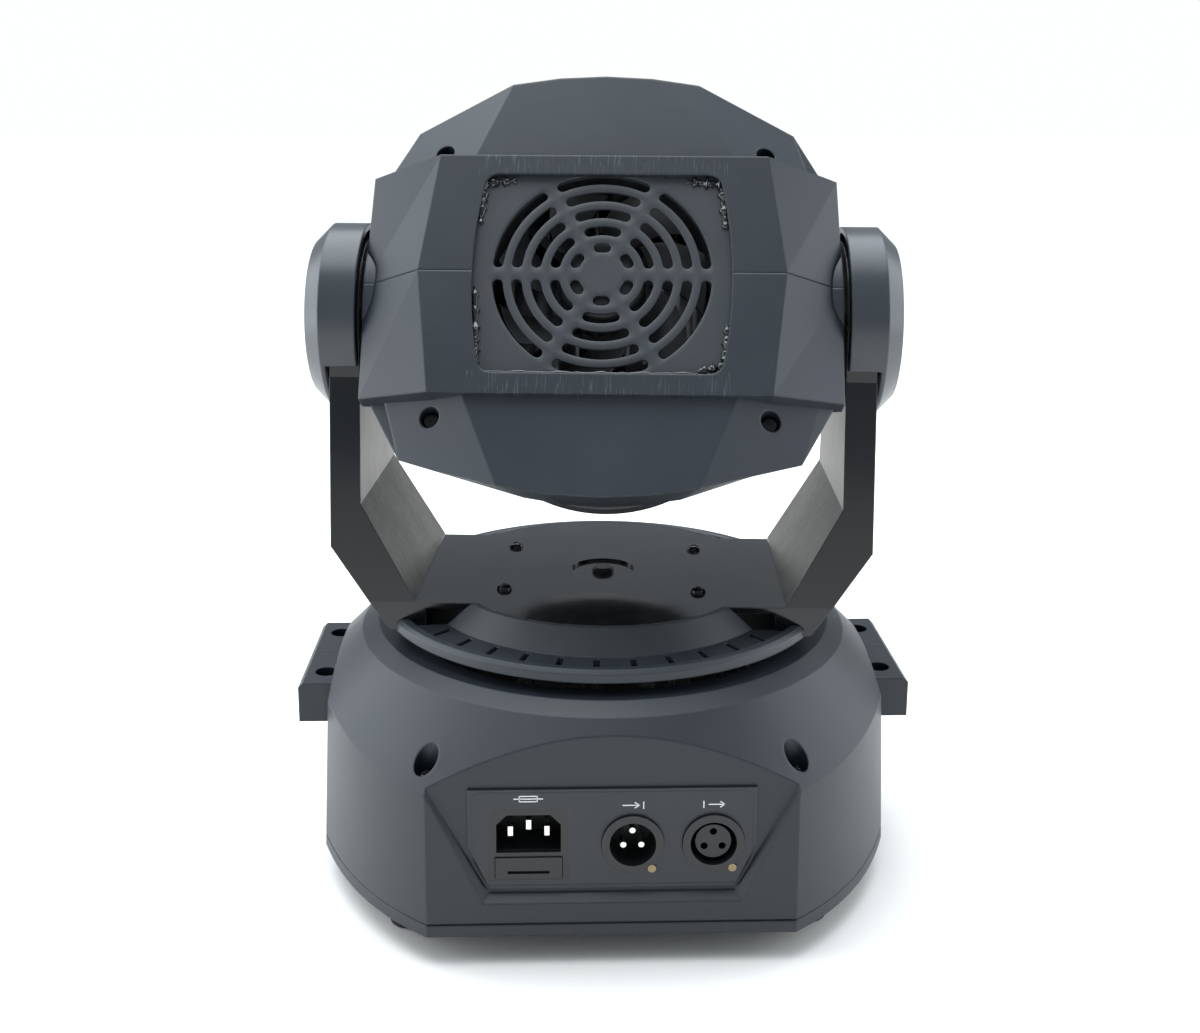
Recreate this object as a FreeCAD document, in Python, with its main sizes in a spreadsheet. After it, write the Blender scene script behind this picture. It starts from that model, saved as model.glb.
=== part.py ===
import FreeCAD, Part
import math
import os
import Sketcher

# A moving head light. It stands on its feet at Z = 0, with Z up. The connectors are at -Y and the
# control panel at +Y. The yoke pans about the Z axis, and the head tilts between its arms.

doc = FreeCAD.newDocument("MovingHeadLight")
sheet = doc.addObject("Spreadsheet::Sheet", "Sizes")

sizeValues = {
    # base
    "footHigh": 13.5, "footWide": 16, "footAcross": 81, "footAlong": 86,
    "baseWide": 240, "baseDeep": 234, "baseFlat": 142, "baseSide": 94, "baseTaper": 4,
    "cornerSwell": 0.22,
    "baseLow": 12, "baseWall": 2.6, "lipHigh": 4.6, "lipGroove": 1, "seamGap": 0.3,
    "shoulderRadius": 107, "shoulderHigh": 97, "collarRadius": 100, "collarHigh": 101,
    "throatRadius": 90, "earOut": 131.5, "earLong": 70, "earLow": 63, "earHigh": 17.5,
    "shellScrewRadius": 4.8, "shellScrewSide": 121, "shellScrewSeam": 22.5,
    "shellScrewBackX": 71, "shellScrewBackY": 103,
    # recessed panels at the rear and front of the base
    "panelDepth": 112, "panelTopWide": 142, "panelTopHigh": 72, "panelLowWide": 94, "panelLowHigh": 28,
    "plateWide": 110, "plateHigh": 41, "plateMiddle": 50.5, "plateThick": 1.2, "plateLap": 3,
    "socketHigh": 48.3, "inletAcross": -32, "inletWide": 30.5, "inletHigh": 29.5,
    "inletMouthWide": 24.6, "inletMouthHigh": 15.5, "inletDeep": 24, "pinLong": 14,
    "drawerWide": 25.4, "drawerHigh": 8.6, "drawerLong": 22, "drawerGap": 0.2,
    "signalInAcross": 7.7, "signalOutAcross": 38.6, "signalRadius": 12, "signalCup": 8.9,
    "signalDeep": 20, "smallScrewRadius": 1.7, "buttonRadius": 4.5, "buttonTravel": 0.8,
    "buttonSpacing": 14, "windowWide": 56, "windowHigh": 14,
    # inside the base
    "trayThick": 2, "trayGap": 0.6, "mountHoleRadius": 3.3, "mountSpacing": 70,
    "postRadius": 4, "postSpacing": 116, "bearingPlateRadius": 86, "bearingPlateHigh": 84,
    "bearingPlateThick": 2.5, "panBearingRadius": 29, "panBearingWide": 7.5, "panShaftRadius": 20,
    "panShaftBore": 14, "runningGap": 0.05, "panPulleyRadius": 45, "pulleyWide": 10,
    "panPulleyLow": 66, "pinionRadius": 7.5, "motorShaftRadius": 2.5, "panMotorAlong": 64,
    "motorWide": 42, "beltThick": 1.6, "beltGap": 0.4, "boardThick": 1.6,
    # yoke
    "panRest": -3.7, "tiltRest": 31, "tiltHigh": 232.5, "discRadius": 88, "discLow": 102.5,
    "discThick": 3.5, "yokeTop": 119, "yokePlateThick": 2.5, "yokePlateWide": 154, "yokePlateDeep": 92,
    "bulgeRadius": 69, "crescentRadius": 97, "crescentLow": 106.5, "crescentHigh": 111.5,
    "channelInner": 79, "channelOuter": 91, "slotWide": 2.6, "armInner": 100, "armOuter": 112.7,
    "armBendHigh": 160, "armTopDeep": 68, "armWall": 2, "plateScrewX": 83, "plateScrewY": 57,
    "plateScrewRadius": 3.3, "recessRadius": 14, "plugRadius": 4.8, "capRadius": 40, "capOut": 122.5,
    "capWall": 2.5, "capChamfer": 7, "tiltShaftRadius": 7.25,
    # head, along its own axis from the tilt axis
    "bandBack": 50.5, "bandEdge": 33, "bandFlat": 147, "bandBow": 6.5, "bandWide": 196, "bandHigh": 103,
    "bandEndHigh": 98, "bandFront": 24, "headWall": 2.4, "ringBack": 45.4, "ringCornerBack": 28.5,
    "ringTop": 91.5, "ringCorner": 73, "ringCornerWide": 160, "ringWide": 190, "cheekUp": 50,
    "noseFront": 20, "noseScale": 0.86,
    "hubRadius": 36, "hubOut": 98,
    "grilleWide": 103.6, "grilleBow": 4.6, "grilleHigh": 86, "grilleThick": 1.5,
    "fanWide": 92, "fanThick": 25, "fanBore": 88, "fanHub": 18, "ribWide": 5, "ventWide": 4.2,
    "bezelRadius": 73, "bezelWall": 4, "bezelFront": 68, "beltLine": 45, "glassThick": 3,
    "lensRadius": 17, "lensCircle": 41, "ledPlateRadius": 58, "heatsinkWide": 92,
    "headScrewAcross": 67, "headScrewUp": 58, "headScrewDeep": 31, "tiltPulleyRadius": 15, "tiltPulleyIn": 62,
    "tiltMotorWide": 35, "tiltMotorDown": 46, "tiltMotorBack": 2,
}
for row, (name, amount) in enumerate(sizeValues.items(), start=1):
    sheet.set("A%d" % row, name)
    sheet.set("B%d" % row, str(amount))
    sheet.setAlias("B%d" % row, name)
doc.recompute()


class Formula:
    """A length that the sheet drives: its value now, and the expression that keeps it."""

    def __init__(self, number, text):
        self.number = float(number)
        self.text = text

    def __add__(self, other):
        other = formula(other)
        return Formula(self.number + other.number, "(%s + %s)" % (self.text, other.text))

    def __sub__(self, other):
        other = formula(other)
        return Formula(self.number - other.number, "(%s - %s)" % (self.text, other.text))

    def __mul__(self, other):
        other = formula(other)
        return Formula(self.number * other.number, "(%s * %s)" % (self.text, other.text))

    def __truediv__(self, other):
        other = formula(other)
        return Formula(self.number / other.number, "(%s / %s)" % (self.text, other.text))

    def __neg__(self):
        return formula(0) - self

    def __radd__(self, other):
        return formula(other) + self

    def __rsub__(self, other):
        return formula(other) - self

    def __rmul__(self, other):
        return formula(other) * self

    def __float__(self):
        return self.number


def formula(amount):
    """A plain number as a formula, and a formula as itself."""
    if isinstance(amount, Formula):
        return amount
    return Formula(amount, "%.6f" % float(amount))


class SheetSizes:
    """The sheet's sizes by name, as formulas."""

    def __getattr__(self, name):
        return Formula(float(sheet.get(name)), "Sizes." + name)


s = SheetSizes()
subParts = []


def bind(thing, path, amount):
    thing.setExpression(path, formula(amount).text)


def setPlace(thing, place):
    """Puts a thing at x, y, z, with its rotation left as it is."""
    for axis, amount in zip("xyz", place):
        bind(thing, "Placement.Base." + axis, amount)


def box(low, high):
    """A box between two corners."""
    thing = doc.addObject("Part::Box", "Box")
    for side, start, end in zip(("Length", "Width", "Height"), low, high):
        bind(thing, side, formula(end) - start)
    setPlace(thing, low)
    return thing


def rod(radius, start, long, axis="Z"):
    """A cylinder from a point, along an axis."""
    thing = doc.addObject("Part::Cylinder", "Rod")
    turns = {"Z": FreeCAD.Rotation(), "X": FreeCAD.Rotation(FreeCAD.Vector(0, 1, 0), 90),
             "Y": FreeCAD.Rotation(FreeCAD.Vector(1, 0, 0), -90)}
    thing.Placement = FreeCAD.Placement(FreeCAD.Vector(), turns[axis])
    bind(thing, "Radius", radius)
    bind(thing, "Height", long)
    setPlace(thing, start)
    return thing


def turned(thing, angle, axis=FreeCAD.Vector(0, 0, 1)):
    """Turns a thing about an axis through its frame's origin."""
    whole = group(thing)
    whole.Placement = FreeCAD.Placement(FreeCAD.Vector(), FreeCAD.Rotation(axis, angle))
    return whole


def fuse(*things):
    thing = doc.addObject("Part::MultiFuse", "Fuse")
    thing.Shapes = list(things)
    return thing


def cut(base, *tools):
    thing = doc.addObject("Part::Cut", "Cut")
    thing.Base = base
    thing.Tool = tools[0] if len(tools) == 1 else fuse(*tools)
    return thing


def common(first, second):
    thing = doc.addObject("Part::Common", "Common")
    thing.Base = first
    thing.Tool = second
    return thing


def group(*things):
    thing = doc.addObject("Part::Compound", "Group")
    thing.Links = list(things)
    return thing


def fixed(shape):
    """A feature that holds a worked-out shape."""
    thing = doc.addObject("Part::Feature", "Solid")
    thing.Shape = shape
    return thing


def originPlane(body, role):
    return [item for item in body.Origin.OriginFeatures if item.Role == role][0]


def newSketch(body, role, offset=0):
    """A sketch on one of the body's own planes, lifted off it by an offset."""
    sketch = body.newObject("Sketcher::SketchObject", "Outline")
    sketch.AttachmentSupport = [(originPlane(body, role), "")]
    sketch.MapMode = "FlatFace"
    bind(sketch, "AttachmentOffset.Base.z", offset)
    return sketch


def pinPoint(sketch, line, end, place):
    """Holds one end of a line at its formulas for across and up."""
    for kind, axis, amount in zip(("DistanceX", "DistanceY"), (-2, -1), place):
        amount = formula(amount)
        if amount.number == 0:
            sketch.addConstraint(Sketcher.Constraint("PointOnObject", line, end, axis))
        else:
            index = sketch.addConstraint(Sketcher.Constraint(kind, -1, 1, line, end, amount.number))
            sketch.setExpression("Constraints[%d]" % index, amount.text)


def drawOutline(sketch, points):
    """A closed outline of straight lines."""
    spots = [FreeCAD.Vector(float(formula(across)), float(formula(up)), 0) for across, up in points]
    first = sketch.GeometryCount
    count = len(spots)
    for index in range(count):
        sketch.addGeometry(Part.LineSegment(spots[index], spots[(index + 1) % count]), False)
    for index in range(count):
        following = first + (index + 1) % count
        sketch.addConstraint(Sketcher.Constraint("Coincident", first + index, 2, following, 1))
        pinPoint(sketch, first + index, 1, points[index])


def spin(points):
    """A body turned about Z from an outline of radius and height."""
    body = doc.addObject("PartDesign::Body", "Turned")
    sketch = newSketch(body, "XZ_Plane")
    drawOutline(sketch, points)
    feature = body.newObject("PartDesign::Revolution", "Revolution")
    feature.Profile = sketch
    feature.ReferenceAxis = (sketch, ["V_Axis"])
    feature.Angle = 360
    return body


def pad(draw, long, offset=0, role="XY_Plane"):
    """A body padded from what draw puts in its sketch."""
    body = doc.addObject("PartDesign::Body", "Padded")
    sketch = newSketch(body, role, offset)
    draw(sketch)
    feature = body.newObject("PartDesign::Pad", "Pad")
    feature.Profile = sketch
    bind(feature, "Length", long)
    return body


def plate(points, low, high):
    """A flat piece of an outline in X and Y, from a low to a high level."""
    return pad(lambda sketch: drawOutline(sketch, points), formula(high) - low, low)


def upright(points, back, front):
    """A flat piece of an outline in X and Z, from the back to the front along Y."""
    def draw(sketch):
        drawOutline(sketch, points)
    return pad(draw, formula(front) - back, -formula(front), "XZ_Plane")


def polarCopies(body, feature, count):
    """Repeats a body's feature round its Z axis."""
    pattern = body.newObject("PartDesign::PolarPattern", "Pattern")
    pattern.Originals = [feature]
    pattern.Axis = (originPlane(body, "Z_Axis"), [""])
    pattern.Angle = 360
    pattern.Occurrences = count
    body.Tip = pattern
    return pattern


def subPart(name, thing, place):
    """Names a sub-part, which names its file, and puts it in its group's place."""
    thing.Label = name
    thing.Placement = place.multiply(thing.Placement)
    subParts.append((name, thing))


def vector(x, y, z):
    return FreeCAD.Vector(float(x), float(y), float(z))


def shifted(x, y, z, axis=FreeCAD.Vector(0, 0, 1), angle=0):
    return FreeCAD.Placement(vector(x, y, z), FreeCAD.Rotation(axis, angle))


basePlace = FreeCAD.Placement()
yokePlace = shifted(0, 0, 0, FreeCAD.Vector(0, 0, 1), float(s.panRest))
# the head's own frame: X across, Y up and Z forward along its light
tiltPlace = shifted(0, 0, s.tiltHigh, FreeCAD.Vector(1, 0, 0), -float(s.tiltRest))
headFrame = FreeCAD.Placement(FreeCAD.Vector(), FreeCAD.Rotation(FreeCAD.Vector(0, 1, 1), 180))
headPlace = yokePlace.multiply(tiltPlace).multiply(headFrame)
signs = ((-1, -1), (1, -1), (1, 1), (-1, 1))


# ---------------------------------------------------------------- base shells

def baseOutline(shrink, level):
    """Flat rear, front and sides joined by slightly swollen corners, drawn in from the base's edge."""
    wide = float(s.baseWide / 2) - shrink
    deep = float(s.baseDeep / 2) - shrink
    flat = float(s.baseFlat / 2)
    side = float(s.baseSide / 2)
    edges = []
    spots = []
    for turnX, turnY in ((1, -1), (1, 1), (-1, 1), (-1, -1)):
        rear = FreeCAD.Vector(turnX * flat, turnY * deep, level)
        flank = FreeCAD.Vector(turnX * wide, turnY * side, level)
        swell = FreeCAD.Vector(turnX * (wide - flat), turnY * (deep - side), 0) * float(s.cornerSwell / 2)
        poles = [rear, (rear * 2 + flank) * (1 / 3) + swell, (rear + flank * 2) * (1 / 3) + swell, flank]
        if turnX * turnY > 0:
            poles.reverse()
        spots.append(poles)
    for index, poles in enumerate(spots):
        curve = Part.BezierCurve()
        curve.setPoles(poles)
        edges.append(curve.toShape())
        edges.append(Part.makeLine(poles[3], spots[(index + 1) % 4][0]))
    return Part.Wire(edges)


def coneCap(drop):
    """The turned top of the base: a cone up to the shoulder, a bevel and the flat collar."""
    reach = float(s.baseWide)
    shoulder = float(s.shoulderHigh) - drop
    collar = float(s.collarHigh) - drop
    rim = float(s.shoulderRadius)
    points = [(0, -1), (reach, -1), (reach, shoulder - (reach - rim)), (rim, shoulder),
              (float(s.collarRadius), collar), (0, collar)]
    corners = [FreeCAD.Vector(radius, 0, height) for radius, height in points]
    corners[2].z = max(corners[2].z, -0.5)
    corners[2].x = rim + shoulder - corners[2].z
    corners[1].x = corners[2].x
    face = Part.Face(Part.makePolygon(corners + corners[:1]))
    return face.revolve(FreeCAD.Vector(), FreeCAD.Vector(0, 0, 1), 360)


def baseBlock(shrink, drop, low):
    """The tapered base under its cone, drawn in and lowered by amounts."""
    span = float(s.collarHigh - s.baseLow)
    lean = float(s.baseTaper) / span
    high = float(s.collarHigh) + 5
    start = shrink + lean * (low - float(s.baseLow))
    end = shrink + lean * (high - float(s.baseLow))
    block = Part.makeLoft([baseOutline(start, low), baseOutline(end, high)], True, True)
    return block.common(coneCap(drop))


def wedge(points, half, axis):
    """A prism of an outline, through the middle plane by half its length each way."""
    corners = [vector(*point) for point in points]
    face = Part.Face(Part.makePolygon(corners + corners[:1]))
    face.translate(axis * -half)
    return face.extrude(axis * (2 * half))


def earShape():
    """The two lugs at the sides, each with a bevelled outer edge."""
    out = float(s.earOut)
    low = float(s.earLow)
    top = low + float(s.earHigh)
    inner = float(s.baseWide / 2) - 10
    shape = None
    for side in (-1, 1):
        outline = [(side * inner, 0, low), (side * out, 0, low), (side * out, 0, top - 2),
                   (side * (out - 2), 0, top), (side * inner, 0, top)]
        lug = wedge(outline, float(s.earLong / 2), FreeCAD.Vector(0, 1, 0))
        shape = lug if shape is None else shape.fuse(lug)
    return shape


def panelPocket(side):
    """What the rear (-1) or front (1) panel's recess takes away, with sloping flanks."""
    face = float(s.panelDepth)
    out = float(s.baseDeep / 2) + 2
    splay = out - face

    def ring(grow, depth):
        topHalf = float(s.panelTopWide / 2) + grow
        lowHalf = float(s.panelLowWide / 2) + grow
        points = [(-topHalf, 120), (-topHalf, float(s.panelTopHigh)), (-lowHalf, float(s.panelLowHigh) - grow),
                  (lowHalf, float(s.panelLowHigh) - grow), (topHalf, float(s.panelTopHigh)), (topHalf, 120)]
        corners = [FreeCAD.Vector(x, side * depth, z) for x, z in points]
        return Part.makePolygon(corners + corners[:1])
    return Part.makeLoft([ring(0, face), ring(splay * 0.6, out)], True, True)


def shellScrews():
    """Where the shell's screws stand: two at the rear, two at the front and four at the seam."""
    spots = []
    for sideX, sideY in signs:
        spots.append((sideX * float(s.shellScrewBackX), sideY * float(s.shellScrewBackY)))
        spots.append((sideX * float(s.shellScrewSide), sideY * float(s.shellScrewSeam)))
    return spots


def screwFloor(x, y):
    """How high the floor of a shell screw's pit lies."""
    reach = math.hypot(x, y)
    return float(s.shoulderHigh) - (reach - float(s.shoulderRadius)) - 9


def makeBaseShells():
    wall = float(s.baseWall)
    outer = baseBlock(0, 0, float(s.baseLow)).fuse(earShape())
    outer = outer.cut(panelPocket(-1)).cut(panelPocket(1))
    inner = baseBlock(wall, wall * math.sqrt(2), float(s.baseLow) - 1)
    back = float(s.panelDepth) - wall
    inner = inner.common(Part.makeBox(400, 2 * back, 200, FreeCAD.Vector(-200, -back, 0)))
    for x, y in shellScrews():
        foot = FreeCAD.Vector(x, y, screwFloor(x, y) - 4)
        post = Part.makeCylinder(float(s.shellScrewRadius) + 2, 60, foot)
        inner = inner.cut(post)
    shell = outer.cut(inner)
    shell = shell.cut(Part.makeCylinder(float(s.throatRadius), 60, FreeCAD.Vector(0, 0, 60)))
    for x, y in shellScrews():
        pit = Part.makeCylinder(float(s.shellScrewRadius), 60, FreeCAD.Vector(x, y, screwFloor(x, y)))
        shell = shell.cut(pit)
    opening = float(s.plateWide / 2 - s.plateLap)
    low = float(s.plateMiddle - s.plateHigh / 2 + s.plateLap)
    tall = float(s.plateHigh - s.plateLap * 2)
    inset = float(s.plateLap / 2)
    for side in (-1, 1):
        start = float(s.panelDepth) * side - 10
        corners = [FreeCAD.Vector(x, start, z) for x, z in (
            (inset - float(s.panelTopWide / 2), float(s.panelTopHigh)),
            (inset - float(s.panelLowWide / 2), float(s.panelLowHigh)),
            (float(s.panelLowWide / 2) - inset, float(s.panelLowHigh)),
            (float(s.panelTopWide / 2) - inset, float(s.panelTopHigh)))]
        flanks = Part.Face(Part.makePolygon(corners + corners[:1])).extrude(FreeCAD.Vector(0, 20, 0))
        window = Part.makeBox(2 * opening, 20, tall, FreeCAD.Vector(-opening, start, low)).common(flanks)
        shell = shell.cut(window)
    level = float(s.baseLow + s.lipHigh)
    depth = float(s.lipGroove)
    around = Part.Face(baseOutline(-3, level)).extrude(FreeCAD.Vector(0, 0, 0.9))
    kept = Part.Face(baseOutline(depth, level)).extrude(FreeCAD.Vector(0, 0, 0.9))
    shell = shell.cut(around.cut(kept))
    gap = float(s.seamGap / 2)
    rear = shell.common(Part.makeBox(400, 200, 200, FreeCAD.Vector(-200, -200 - gap, 0)))
    front = shell.common(Part.makeBox(400, 200, 200, FreeCAD.Vector(-200, gap, 0)))
    subPart("base_rear_shell", fixed(rear), basePlace)
    subPart("base_front_shell", fixed(front), basePlace)


def makeShellScrews():
    heads = []
    for x, y in shellScrews():
        head = spin([(0, -1.5), (3.4, -1.5), (3.4, 0), (2.6, 1.2), (0.8, 1.2), (0.8, 0.3), (0, 0.3)])
        head.Placement = shifted(x, y, screwFloor(x, y) + 1.6)
        heads.append(head)
    subPart("base_shell_screws", group(*heads), basePlace)


def makeTray():
    """The steel tray that closes the base, with four holes for a hanging bracket."""
    shrink = float(s.baseWall + s.trayGap)
    face = Part.Face(baseOutline(shrink, float(s.footHigh)))
    sheetMetal = face.extrude(FreeCAD.Vector(0, 0, float(s.trayThick)))
    reach = float(s.panelDepth) - shrink
    sheetMetal = sheetMetal.common(Part.makeBox(400, 2 * reach, 60, FreeCAD.Vector(-200, -reach, 0)))
    half = float(s.mountSpacing / 2)
    for x, y in signs:
        start = FreeCAD.Vector(x * half, y * half, float(s.footHigh) - 3)
        hole = Part.makeCylinder(float(s.mountHoleRadius), 10, start)
        sheetMetal = sheetMetal.cut(hole)
    subPart("bottom_tray", fixed(sheetMetal), basePlace)
    feet = []
    for x, y in signs:
        top = s.footWide / 2
        foot = spin([(0, 0), (top - 1.6, 0), (top - 0.8, 1), (top, s.footHigh), (0, s.footHigh)])
        foot.Placement = shifted(x * s.footAcross, y * s.footAlong, 0)
        feet.append(foot)
    subPart("rubber_feet", group(*feet), basePlace)


# ---------------------------------------------------------------- panels and sockets

def plateOutline(wide, low, high):
    """A plate whose lower corners are cut off like the recess round it."""
    half = wide / 2
    bevel = 8
    return [(half * -1, high), (half * -1, low + 18), (half * -1 + bevel, low), (half - bevel, low),
            (half, low + 18), (half, high)]


def panelPlate(side):
    low = s.plateMiddle - s.plateHigh / 2
    high = s.plateMiddle + s.plateHigh / 2
    start = s.panelDepth if side > 0 else -(s.panelDepth + s.plateThick)
    return upright(plateOutline(s.plateWide, low, high), start, start + s.plateThick)


def makeConnectorPlate():
    back = -(s.panelDepth + s.plateThick + 2)
    reach = s.plateThick + 4
    inletHole = box((s.inletAcross - s.inletWide / 2, back, s.socketHigh - s.inletHigh / 2),
                    (s.inletAcross + s.inletWide / 2, back + reach, s.socketHigh + s.inletHigh / 2))
    holes = [inletHole]
    for spot in (s.signalInAcross, s.signalOutAcross):
        holes.append(rod(s.signalRadius, (spot, back, s.socketHigh), reach, "Y"))
        holes.append(rod(s.smallScrewRadius, (spot + 7.4, back, s.socketHigh - 10.2), reach, "Y"))
    subPart("connector_plate", cut(panelPlate(-1), *holes), basePlace)


def makeInlet():
    """A fused appliance inlet: a shaped mouth with three pins over a drawer for the fuse."""
    front = -(s.panelDepth + s.plateThick)
    x = s.inletAcross
    z = s.socketHigh
    flange = box((x - s.inletWide / 2, front, z - s.inletHigh / 2),
                 (x + s.inletWide / 2, front + s.plateThick, z + s.inletHigh / 2))
    body = box((x - 14, front + 2, z - 14), (x + 14, front + s.inletDeep, z + 14))
    mouthMid = z + 4.5
    half = s.inletMouthWide / 2
    low = mouthMid - s.inletMouthHigh / 2
    high = mouthMid + s.inletMouthHigh / 2
    mouth = upright([(x - half, low), (x + half, low), (x + half, high - 4), (x + half - 4, high),
                     (x - half + 4, high), (x - half, high - 4)], front - 1, front + s.inletDeep - 6)
    drawer = box((x - s.drawerWide / 2 - s.drawerGap, front - 1, z - 9.5 - s.drawerHigh / 2 - s.drawerGap),
                 (x + s.drawerWide / 2 + s.drawerGap, front + s.inletDeep - 1.5,
                  z - 9.5 + s.drawerHigh / 2 + s.drawerGap))
    subPart("mains_inlet", cut(fuse(flange, body), mouth, drawer), basePlace)
    pins = signalPins(s.signalInAcross, 1.2)
    for across, up in ((-7, 0), (0, 2.6), (7, 0)):
        middle = mouthMid + up - 1
        pins.append(box((x + across - 1, front + s.inletDeep - 6 - s.pinLong, middle - 2),
                        (x + across + 1, front + s.inletDeep - 6, middle + 2)))
    subPart("contact_pins", group(*pins), basePlace)


def makeFuseDrawer():
    front = -(s.panelDepth + s.plateThick)
    x = s.inletAcross
    z = s.socketHigh - 9.5
    face = box((x - s.drawerWide / 2, front - 0.6, z - s.drawerHigh / 2),
               (x + s.drawerWide / 2, front + 2.4, z + s.drawerHigh / 2))
    slide = box((x - 11, front + 2.4, z - 3.8), (x + 11, front + s.drawerLong, z + 3.8))
    trough = box((x - 10, front + 4, z - 2.9), (x + 10, front + s.drawerLong - 1.5, z + 6))
    grip = box((x - 8, front - 1, z - 2.4), (x + 8, front + 0.6, z - 1.2))
    subPart("fuse_drawer", cut(fuse(face, slide), trough, grip), basePlace)
    glass = rod(2.5, (x - 6.5, front + 9, z), 13, "X")
    ends = [rod(2.6, (x - 9.5, front + 9, z), 3, "X"), rod(2.6, (x + 6.5, front + 9, z), 3, "X")]
    subPart("fuse", group(glass, *ends), basePlace)


def signalShell(x, depth):
    """A round panel socket with a small screw tab and a cup of a depth."""
    front = -(s.panelDepth + s.plateThick)
    tab = rod(3.4, (x + 7.4, front + s.plateThick + 0.05, s.socketHigh - 10.2), 2, "Y")
    body = fuse(rod(s.signalRadius - 0.1, (x, front - 1.2, s.socketHigh), s.signalDeep + 1.2, "Y"), tab)
    cup = rod(s.signalCup, (x, front - 3, s.socketHigh), depth + 3, "Y")
    hole = fuse(rod(1.2, (x + 7.4, front - 3, s.socketHigh - 10.2), 11, "Y"),
                rod(s.smallScrewRadius + 0.1, (x + 7.4, front - 3, s.socketHigh - 10.2), 4.1, "Y"))
    return body, cup, hole


def signalPins(x, radius):
    """Three contacts of a signal socket, at the corners of a triangle."""
    front = -(s.panelDepth + s.plateThick)
    turns = (30, 150, 270)
    places = [(x + 4 * math.cos(math.radians(turn)), s.socketHigh + 4 * math.sin(math.radians(turn)) * -1)
              for turn in turns]
    return [rod(radius, (spotX, front + 2.5, spotZ), 12.5, "Y") for spotX, spotZ in places]


def makeSignalSockets():
    body, cup, hole = signalShell(s.signalInAcross, 15)
    subPart("signal_input", cut(body, cup, hole), basePlace)
    body, cup, hole = signalShell(s.signalOutAcross, 15)
    front = -(s.panelDepth + s.plateThick)
    core = rod(s.signalCup - 2, (s.signalOutAcross, front + 1, s.socketHigh), 15, "Y")
    holes = [rod(1.4, (0, 0, 0), 16, "Y") for turn in range(3)]
    for pinHole, turn in zip(holes, (30, 150, 270)):
        setPlace(pinHole, (s.signalOutAcross + 4 * math.cos(math.radians(turn)), front - 2,
                            s.socketHigh - 4 * math.sin(math.radians(turn))))
    subPart("signal_output", cut(fuse(cut(body, cup), core), hole, *holes), basePlace)
    screws = []
    for x in (s.signalInAcross, s.signalOutAcross):
        rim = s.smallScrewRadius - 0.1
        screw = spin([(0, 0), (1.1, 0), (1.1, 6), (rim, 6), (rim, 8), (0, 8)])
        screw.Placement = shifted(x + 7.4, front + 7, s.socketHigh - 10.2, FreeCAD.Vector(1, 0, 0), 90)
        screws.append(screw)
    subPart("socket_screws", group(*screws), basePlace)


def makeControlPanel():
    """The front panel: a window over the display, and four buttons below it."""
    face = s.panelDepth
    windowLow = s.plateMiddle + 1
    window = box((s.windowWide / -2, face - 2, windowLow),
                 (s.windowWide / 2, face + 4, windowLow + s.windowHigh))
    row = s.plateMiddle - 9
    spots = [s.buttonSpacing * (index - 1.5) for index in range(4)]
    holes = [rod(s.buttonRadius + 0.3, (spot, face - 2, row), 8, "Y") for spot in spots]
    subPart("control_panel", cut(panelPlate(1), window, *holes), basePlace)
    pane = box((s.windowWide / -2, face - 1, windowLow),
               (s.windowWide / 2, face + 0.8, windowLow + s.windowHigh))
    subPart("display_window", group(pane), basePlace)
    board = box((-44, face - 12, s.plateMiddle - 15), (44, face - 12 + s.boardThick, s.plateMiddle + 15))
    digits = box((s.windowWide / -2 + 2, face - 12 + s.boardThick, windowLow + 1),
                 (s.windowWide / 2 - 2, face - 3, windowLow + s.windowHigh - 1))
    subPart("display_board", group(board, digits), basePlace)
    names = ("menu_button", "up_button", "down_button", "enter_button")
    for name, spot in zip(names, spots):
        cap = rod(s.buttonRadius, (spot, face - 2.4, row), s.plateThick + 4.2, "Y")
        stem = rod(1.6, (spot, face - 12 + s.boardThick + s.buttonTravel + 0.4, row), 8, "Y")
        subPart(name, fuse(cap, stem), basePlace)


# ---------------------------------------------------------------- inside the base

def beltLoop(largeRadius, smallRadius, distance, thick, wide):
    """A belt round two wheels: straight runs tangent to both, along +Y from the large one."""
    def face(extra):
        large = largeRadius + extra
        small = smallRadius + extra
        lean = math.asin((large - small) / distance)
        touch = FreeCAD.Vector(math.cos(lean), math.sin(lean), 0)
        mirror = FreeCAD.Vector(-touch.x, touch.y, 0)
        far = FreeCAD.Vector(0, distance, 0)
        edges = [Part.makeLine(touch * large, far + touch * small),
                 Part.Arc(far + touch * small, far + FreeCAD.Vector(0, small, 0), far + mirror * small).toShape(),
                 Part.makeLine(far + mirror * small, mirror * large),
                 Part.Arc(mirror * large, FreeCAD.Vector(0, -large, 0), touch * large).toShape()]
        return Part.Face(Part.Wire(edges))
    loop = face(thick).cut(face(0))
    return loop.extrude(FreeCAD.Vector(0, 0, wide))


def pulley(radius, bore, wide):
    """A belt wheel with two flanges and a bore."""
    rim = radius + 1.4
    return spin([(bore, 0), (rim, 0), (rim, 0.8), (radius, 0.8), (radius, wide - 0.8), (rim, wide - 0.8),
                 (rim, wide), (bore, wide)])


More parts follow.
